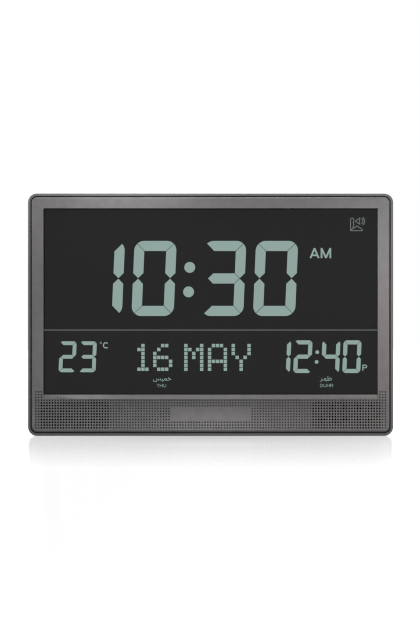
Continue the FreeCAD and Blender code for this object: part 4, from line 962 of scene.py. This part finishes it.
@dataclass
class LitDisplay:
    """Everything that is lit on the display: time, date, warmth, the next prayer's time, a rule and labels.

    Places are in mm from the window's middle. What the bezel's edge hides reaches hidden mm past the window.
    """

    middle_z: float = 125.05
    half_width: float = 155.5
    half_height: float = 86.7
    hidden: float = 1.0
    # The painted shadow's width at the left and top, and at the bottom.
    shadow_width: float = 0.9
    shadow_low: float = 0.75
    front: float = 4.84
    back: float = 4.9
    dot_pitch: float = 3.68
    dot_size: float = 3.1
    dot_start: Point = (-66.7, -41.05)
    date: tuple[tuple[str, float], ...] = (("1", 0), ("6", 4), ("M", 11.87), ("A", 17.87), ("Y", 23.87))
    rule_height: float = -26.6
    rule_thickness: float = 0.95
    picture_stroke: float = 0.72
    degree: Point = (-102.4, -38.4)
    degree_radius: float = 0.8
    degree_stroke: float = 0.3
    colon_steps: int = 36
    ring_steps: int = 12
    font_steps: int = 4
    font_weld: float = 1e-4
    readouts: tuple[Readout, ...] = (
        Readout("time_figures", SevenSegments(39.3, 70.0, 9.45, 9.2), "1030",
                (-81.2, -33.0, 31.9, 80.2), 21.5, ((-19.4, 31.8, 5.05), (-20.5, 9.0, 5.05))),
        Readout("warmth_figures", SevenSegments(15.7, 28.8, 3.5, 3.3, 0.25), "23", (-125.4, -106.6), -51.5),
        Readout("prayer_figures", SevenSegments(16.8, 30.5, 3.85, 3.6, 0.25), "1240",
                (74.6, 94.4, 120.4, 140.1), -51.4, ((99.4, -47.2, 1.75), (98.8, -56.3, 1.75))),
    )
    capitals: tuple[Word, ...] = (
        Word("morning_label", "AM", (92.6, 112.4, 40.4, 49.9), 1.6),
        Word("celsius_label", "C", (-100.4, -94.6, -43.8, -37.9), 0.95),
        Word("afternoon_label", "P", (141.4, 145.9, -64.5, -58.8), 0.9),
        Word("weekday_label", "THU", (-50.1, -41.5, -79.9, -76.9), 0.34),
        Word("prayer_label", "DUHR", (102.1, 114.2, -79.8, -76.8), 0.34),
    )
    scripts: tuple[Word, ...] = (
        Word("arabic_weekday_label", "\ufeb2\ufef4\ufee4\ufea7", (-53.6, -36.6, -75.0, -70.3)),
        Word("arabic_prayer_label", "\ufeae\ufeec\ufec7", (101.7, 113.1, -75.0, -69.6)),
    )

    def plate(self, shell: Shell, outline: Array) -> None:
        """Adds a thin plate on the display, from its outline in x and z."""
        shell.prism(outline + (0.0, self.middle_z), self.front, self.back)

    def figures(self, readout: Readout) -> Piece:
        """Builds one group of figures with its colon.

        Args:
            readout: The group.

        Returns:
            The new piece.
        """
        shell = Shell()
        for digit, right in zip(readout.text, readout.rights):
            for outline in readout.size.figure(digit, right, readout.middle):
                self.plate(shell, outline)
        for x, z, radius in readout.dots:
            self.plate(shell, circle((x, z), radius, self.colon_steps))
        return shell.build(readout.name)

    def dot_text(self) -> Piece:
        """Builds the dot-matrix date: one small square for each # of a letter's seven rows.

        Returns:
            The new piece.
        """
        shell = Shell()
        half = self.dot_size / 2
        square = np.array([(-half, -half), (half, -half), (half, half), (-half, half)])
        lit = [(column + across, -row) for letter, column in self.date
               for row, line in enumerate(DOT_LETTERS[letter].split())
               for across, mark in enumerate(line) if mark == "#"]
        for at in np.array(self.dot_start) + self.dot_pitch * np.array(lit):
            self.plate(shell, square + at)
        return shell.build("date_dots")

    def mend(self, flat: bmesh.types.BMesh) -> None:
        """Mends a filled outline: drops slivers that fold back over others, and parts corners that touch.

        Args:
            flat: The filled outline, in its own x and y plane.
        """
        for face in flat.faces:
            if face.normal.z < 0:
                face.normal_flip()
        for edge in list(flat.edges):
            while len(edge.link_faces) > 2 or len(edge.link_faces) == 2 and not edge.is_contiguous:
                sliver = min(edge.link_faces, key=lambda face: face.calc_area())
                bmesh.ops.delete(flat, geom=[sliver], context="FACES_ONLY")
        bmesh.ops.delete(flat, geom=[edge for edge in flat.edges if not edge.link_faces], context="EDGES")
        bmesh.ops.delete(flat, geom=[point for point in flat.verts if not point.link_faces], context="VERTS")
        for point in [v for v in flat.verts if sum(edge.is_boundary for edge in v.link_edges) > 2]:
            bmesh.utils.vert_separate(point, [edge for edge in point.link_edges if edge.is_boundary])

    def script(self, word: Word) -> Piece:
        """Builds a word in Arabic script that fills its box: the font's outline, mended and given depth.

        Args:
            word: The word, its letters in the order in which they stand from left to right.

        Returns:
            The new piece.
        """
        curve = bpy.data.curves.new(word.name, "FONT")
        curve.body = word.text
        curve.resolution_u = self.font_steps
        holder = place(word.name + "_line", curve)
        bpy.context.view_layer.update()
        mesh = bpy.data.meshes.new_from_object(holder.evaluated_get(bpy.context.evaluated_depsgraph_get()))
        bpy.data.objects.remove(holder)
        solid = bmesh.new()
        solid.from_mesh(mesh)
        bmesh.ops.remove_doubles(solid, verts=solid.verts, dist=self.font_weld)
        self.mend(solid)
        pushed = bmesh.ops.extrude_face_region(solid, geom=list(solid.faces))
        moved = [v for v in pushed["geom"] if isinstance(v, bmesh.types.BMVert)]
        bmesh.ops.translate(solid, verts=moved, vec=(0.0, 0.0, 1.0))
        solid.to_mesh(mesh)
        solid.free()
        co = np.zeros(len(mesh.vertices) * 3, np.float32)
        mesh.vertices.foreach_get("co", co)
        co = co.reshape(-1, 3)
        left, right, bottom, top = word.box
        share = ((co - co.min(0)) / (co.max(0) - co.min(0)))[:, [0, 2, 1]]
        corner = np.array((left, self.front + FACE_Y, bottom + self.middle_z))
        co = (corner + share * (right - left, self.back - self.front, top - bottom)) * MM
        mesh.vertices.foreach_set("co", co.ravel())
        mesh.flip_normals()
        return place(word.name, mesh)

    def label(self, word: Word) -> Piece:
        """Builds a word in plain upright capitals that fills its box, each letter as LETTER_WIDTHS says.

        Args:
            word: The word.

        Returns:
            The new piece.
        """
        shell = Shell()
        left, right, bottom, top = word.box
        widths = np.array([LETTER_WIDTHS.get(letter, 1.0) for letter in word.text])
        unit = (right - left) / (widths.sum() + LETTER_GAP * (len(widths) - 1))
        starts = left + unit * (np.cumsum(widths) - widths + LETTER_GAP * np.arange(len(widths)))
        for letter, start, width in zip(word.text, starts, widths):
            corner = np.array((start, bottom)) + word.stroke / 2
            scale = np.array((unit * width, top - bottom)) - word.stroke
            for line in LETTER_STROKES[letter]:
                self.ribbon(shell, corner + np.array(line) * scale, word.stroke)
        return shell.build(word.name)

    def ribbon(self, shell: Shell, line: Array, width: float, closed: bool = False) -> None:
        """Adds a stroke: a line with a plate of the given width laid along it, mitred at its corners.

        An open end reaches half a width on, and is cut level where the stroke is steep and upright elsewhere.

        Args:
            shell: The mesh that takes it.
            line: The line's points in x and z.
            width: The stroke's width.
            closed: Whether the last point joins the first.
        """
        points = np.array(line, float)
        ahead = np.roll(points, -1, 0) - points
        behind = points - np.roll(points, 1, 0)
        if not closed:
            ahead[-1], behind[0] = behind[-1], ahead[0]
        ahead /= np.linalg.norm(ahead, axis=1, keepdims=True)
        behind /= np.linalg.norm(behind, axis=1, keepdims=True)
        square = ahead[:, ::-1] * (1, -1)
        out = square + behind[:, ::-1] * (1, -1)
        out /= np.maximum((out * square).sum(1, keepdims=True), MITRE_LIMIT)
        if not closed:
            for end, way in ((0, -ahead[0]), (-1, ahead[-1])):
                across = np.abs(way).argmin()
                points[end] += way * width / 2 / np.abs(way).max()
                out[end] = 0.0
                out[end, across] = 1 / square[end, across]
        left, right = points - out * width / 2, points + out * width / 2
        corners = [(left, self.front), (right, self.front), (right, self.back), (left, self.back)]
        tube = np.stack([lift(flat + (0.0, self.middle_z), depth) for flat, depth in corners], 1)
        if closed:
            tube = np.concatenate([tube, tube[:1]])
        shell.add(tube, grid_faces(len(tube), len(corners), True))
        if not closed:
            shell.polygon(tube[0])
            shell.polygon(tube[-1])

    def degree_ring(self) -> Piece:
        """Builds the small ring before the unit of warmth.

        Returns:
            The new piece.
        """
        shell = Shell()
        line = circle(self.degree, self.degree_radius, self.ring_steps)
        self.ribbon(shell, line, self.degree_stroke, closed=True)
        return shell.build("degree_dot")

    def picture(self) -> Piece:
        """Builds the small call-to-prayer picture: a tower and a domed roof in outline, and a sounding horn.

        Returns:
            The new piece.
        """
        shell = Shell()
        tower = [(130.5, 66.0), (130.5, 75.6), *arc((132.0, 76.2), 1.5, 180, 0), (133.5, 75.4), (132.9, 73.6),
                 (133.6, 72.0), (133.3, 70.4), (132.7, 68.9)]
        roof = [(130.5, 66.0), (131.4, 67.2), (133.3, 68.4), (134.9, 69.0), (136.3, 70.5), (137.8, 69.3),
                (139.8, 68.4), (141.2, 67.2), (141.3, 66.0)]
        horn = [(134.9, 74.9), (139.0, 77.8), (139.0, 72.0)]
        sounds = [arc((138.6, 74.9), radius, -42, 42, 12) for radius in (3.4, 4.9)]
        for line in (tower, *sounds):
            self.ribbon(shell, line, self.picture_stroke)
        for line in (roof, horn):
            self.ribbon(shell, line, self.picture_stroke, closed=True)
        return shell.build("call_picture")

    def border(self) -> Piece:
        """Builds painted shadow: a dark line round the display's left, upper and lower edges, where the
        bezel's edge shades it.

        Returns:
            The new piece.
        """
        shell = Shell()
        out, up = self.half_width + self.hidden, self.half_height + self.hidden
        left, top = self.shadow_width - self.half_width, self.half_height - self.shadow_width
        low = self.shadow_low - self.half_height
        self.plate(shell, np.array([(-out, -up), (out, -up), (out, low), (left, low), (left, top), (out, top),
                                    (out, up), (-out, up)]))
        return shell.build("painted_window_shadow_strip")

    def rule(self) -> Piece:
        """Builds the level line between the time and the rest.

        Returns:
            The new piece.
        """
        shell = Shell()
        edge, low = self.half_width + self.hidden, self.rule_height - self.rule_thickness / 2
        high = low + self.rule_thickness
        self.plate(shell, np.array([(-edge, low), (edge, low), (edge, high), (-edge, high)]))
        return shell.build("dividing_rule")

    def build(self) -> None:
        """Builds every lit piece on the display, each with its material, and lets it ride on the clock."""
        rule = self.rule()
        lit = [self.figures(readout) for readout in self.readouts] + [self.dot_text()]
        lit += [self.label(word) for word in self.capitals] + [self.script(word) for word in self.scripts]
        lit.append(self.degree_ring())
        pieces = [(piece, LIT_SEGMENT) for piece in lit]
        # self.border() gives painted shadow: a dark strip where the bezel's edge shades the display.
        pieces += [(rule, LIT_RULE), (self.picture(), LIT_PICTURE), (self.border(), WINDOW_SHADOW_INK)]
        for piece, finish in pieces:
            dress(piece, finish.material())
            carry(piece)


@dataclass
class PackedParts:
    """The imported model's own parts, each with the finish of what it is made of."""

    finishes: dict[Finish, tuple[str, ...]] = field(default_factory=lambda: {
        COATED_ACRYLIC: ("window_lens",),
        CELL_GLASS: ("front_glass", "rear_glass"),
        POLARISER: ("front_polariser", "rear_polariser"),
        GUIDE_ACRYLIC: ("light_guide",),
        WHITE_FILM: ("reflector_sheet", "light_bar_lamps"),
        LAMINATE: ("light_bar", "main_board"),
        BLACK_ABS: ("display_frame", "speaker_frames"),
        RIBBON_FILM: ("display_ribbon",),
        CONE_PAPER: ("speaker_cones",),
        PAINTED_STEEL: ("speaker_magnets",),
        FOAM: ("speaker_gaskets",),
        ACOUSTIC_CLOTH: ("speaker_cloths",),
        SPARKED_ABS: ("rear_case",),
        DARK_ABS: ("battery_door", "stand_leg", "mode_key", "set_key", "up_key", "down_key", "alarm_key",
                   "light_key"),
        JACKET: ("battery_cells",),
        PLATED_STEEL: ("battery_springs", "battery_contacts", "crystal", "capacitors"),
        CHIP_EPOXY: ("key_switches", "volume_control", "power_socket", "processor_chip", "amplifier_chip",
                     "ribbon_socket", "temperature_sensor", "lead_headers"),
        WHEEL_RUBBER: ("volume_wheel",),
        SCREW_STEEL: ("case_screws", "frame_screws", "speaker_screws", "board_screws", "leg_hinge_pin"),
    })

    def build(self, nodes: dict[str, Piece]) -> None:
        """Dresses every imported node.

        Args:
            nodes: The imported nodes, by name.
        """
        for finish, names in self.finishes.items():
            for name in names:
                dress(nodes[name], finish.material())
                LOG.info("%s: %s", name, finish.name)


@dataclass(frozen=True)
class SoftBox:
    """One square lamp: where it hangs and what it is aimed at, in metres, its side, power and colour."""

    name: str
    spot: tuple[float, float, float]
    aim: tuple[float, float, float]
    side: float
    power: float
    colour: str = WHITE

    def build(self) -> None:
        """Hangs the lamp, which the camera itself doesn't see."""
        data = bpy.data.lights.new(self.name, "AREA")
        data.shape = "SQUARE"
        data.size = self.side
        data.energy = self.power
        data.color = linear(self.colour)[:3]
        made = place(self.name, data)
        made.location = self.spot
        x, y, z = np.array(self.aim) - np.array(self.spot)
        made.rotation_euler = (math.atan2(math.hypot(x, y), -z), 0.0, math.atan2(-x, y))
        made.visible_camera = False


@dataclass
class Studio:
    """A white table and backdrop, small lamps in front, a large one behind, and a long lens.

    view_height is what the picture's height spans at the clock's face, aim the x and z of its middle, and
    sight how far the lens sees.
    """

    view_height: float = 585.9
    distance: float = 2400.0
    aim: Point = (-0.54, 112.48)
    sensor: float = 36.0
    sight: float = 50000.0
    table_half: float = 6000.0
    room_light: float = 0.01
    pixel_filter: float = 1.2
    boxes: tuple[SoftBox, ...] = (
        SoftBox("overhead_left_box", (-0.1, -0.12, 0.5), (-0.1, -0.02, 0.1), 0.2, 0.46),
        SoftBox("overhead_right_box", (0.12, -0.12, 0.5), (0.1, -0.02, 0.1), 0.2, 0.46),
        SoftBox("upper_left_box", (-0.085, -0.14, 0.26), (-0.085, -0.02, 0.18), 0.1, 0.073),
        SoftBox("upper_right_box", (0.19, -0.18, 0.18), (0.17, -0.02, 0.15), 0.1, 0.052),
        SoftBox("lower_right_box", (0.24, -0.25, 0.1), (0.16, -0.02, 0.1), 0.1, 0.086, "#fff1e4"),
        SoftBox("left_box", (-0.27, -0.05, 0.23), (-0.17, -0.01, 0.18), 0.06, 0.04),
        SoftBox("right_box", (0.27, -0.04, 0.23), (0.17, -0.01, 0.19), 0.06, 0.018),
        SoftBox("low_front_box", (0.0, -0.2, 0.06), (0.0, -0.02, 0.02), 0.08, 0.038),
        SoftBox("sill_box", (-0.122, -0.07, 0.088), (-0.122, -0.02, 0.036), 0.03, 0.006),
        SoftBox("rear_box", (0.3, 1.2, 1.0), (0.0, 0.0, 0.1), 1.0, 16.0),
    )

    def camera(self) -> None:
        """Places the camera, whose view is view_height tall at the plane of the clock's face."""
        data = bpy.data.cameras.new("front_camera")
        data.sensor_width = self.sensor
        data.lens = self.sensor * self.distance / self.view_height
        data.clip_end = self.sight * MM
        made = place("front_camera", data)
        made.location = (self.aim[0] * MM, (FACE_Y - self.distance) * MM, self.aim[1] * MM)
        made.rotation_euler = (math.pi / 2, 0.0, 0.0)
        bpy.context.scene.camera = made

    def world(self) -> None:
        """Lights the room evenly, and shows a white backdrop to the eye, in reflections and through glass."""
        made = bpy.data.worlds.new("white_studio")
        made.use_nodes = True
        tree = made.node_tree
        tree.nodes.clear()
        room = add(tree, "Background", {0: linear(WHITE), 1: self.room_light}).outputs[0]
        backdrop = add(tree, "Background", {0: linear(WHITE), 1: 1.0}).outputs[0]
        mixed = add(tree, "MixShader", {0: seen(tree), 1: room, 2: backdrop}).outputs[0]
        add(tree, "OutputWorld", {0: mixed})
        bpy.context.scene.world = made

    def table(self) -> None:
        """Lays the white table: a level sheet whose polish mirrors the clock faintly beside it."""
        half = self.table_half * MM
        mesh = bpy.data.meshes.new("studio_table")
        corners = [(-half, -half, 0), (half, -half, 0), (half, half, 0), (-half, half, 0)]
        mesh.from_pydata(corners, [], [(0, 1, 2, 3)])
        made = place("studio_table", mesh)
        dress(made, TABLE_LAMINATE.material())

    def build(self) -> None:
        """Builds the whole studio."""
        self.camera()
        self.world()
        self.table()
        for box in self.boxes:
            box.build()
        bpy.context.scene.view_settings.view_transform = "Standard"
        bpy.context.scene.cycles.denoising_prefilter = "NONE"
        bpy.context.scene.cycles.filter_width = self.pixel_filter


def main() -> None:
    """Builds the dressed clock and its studio."""
    logging.basicConfig(level=logging.INFO, format="%(name)s: %(message)s")
    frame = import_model()
    PackedParts().build(frame["nodes"])
    PaintedBezel().build()
    LitDisplay().build()
    Studio().build()


if __name__ == "__main__":
    main()
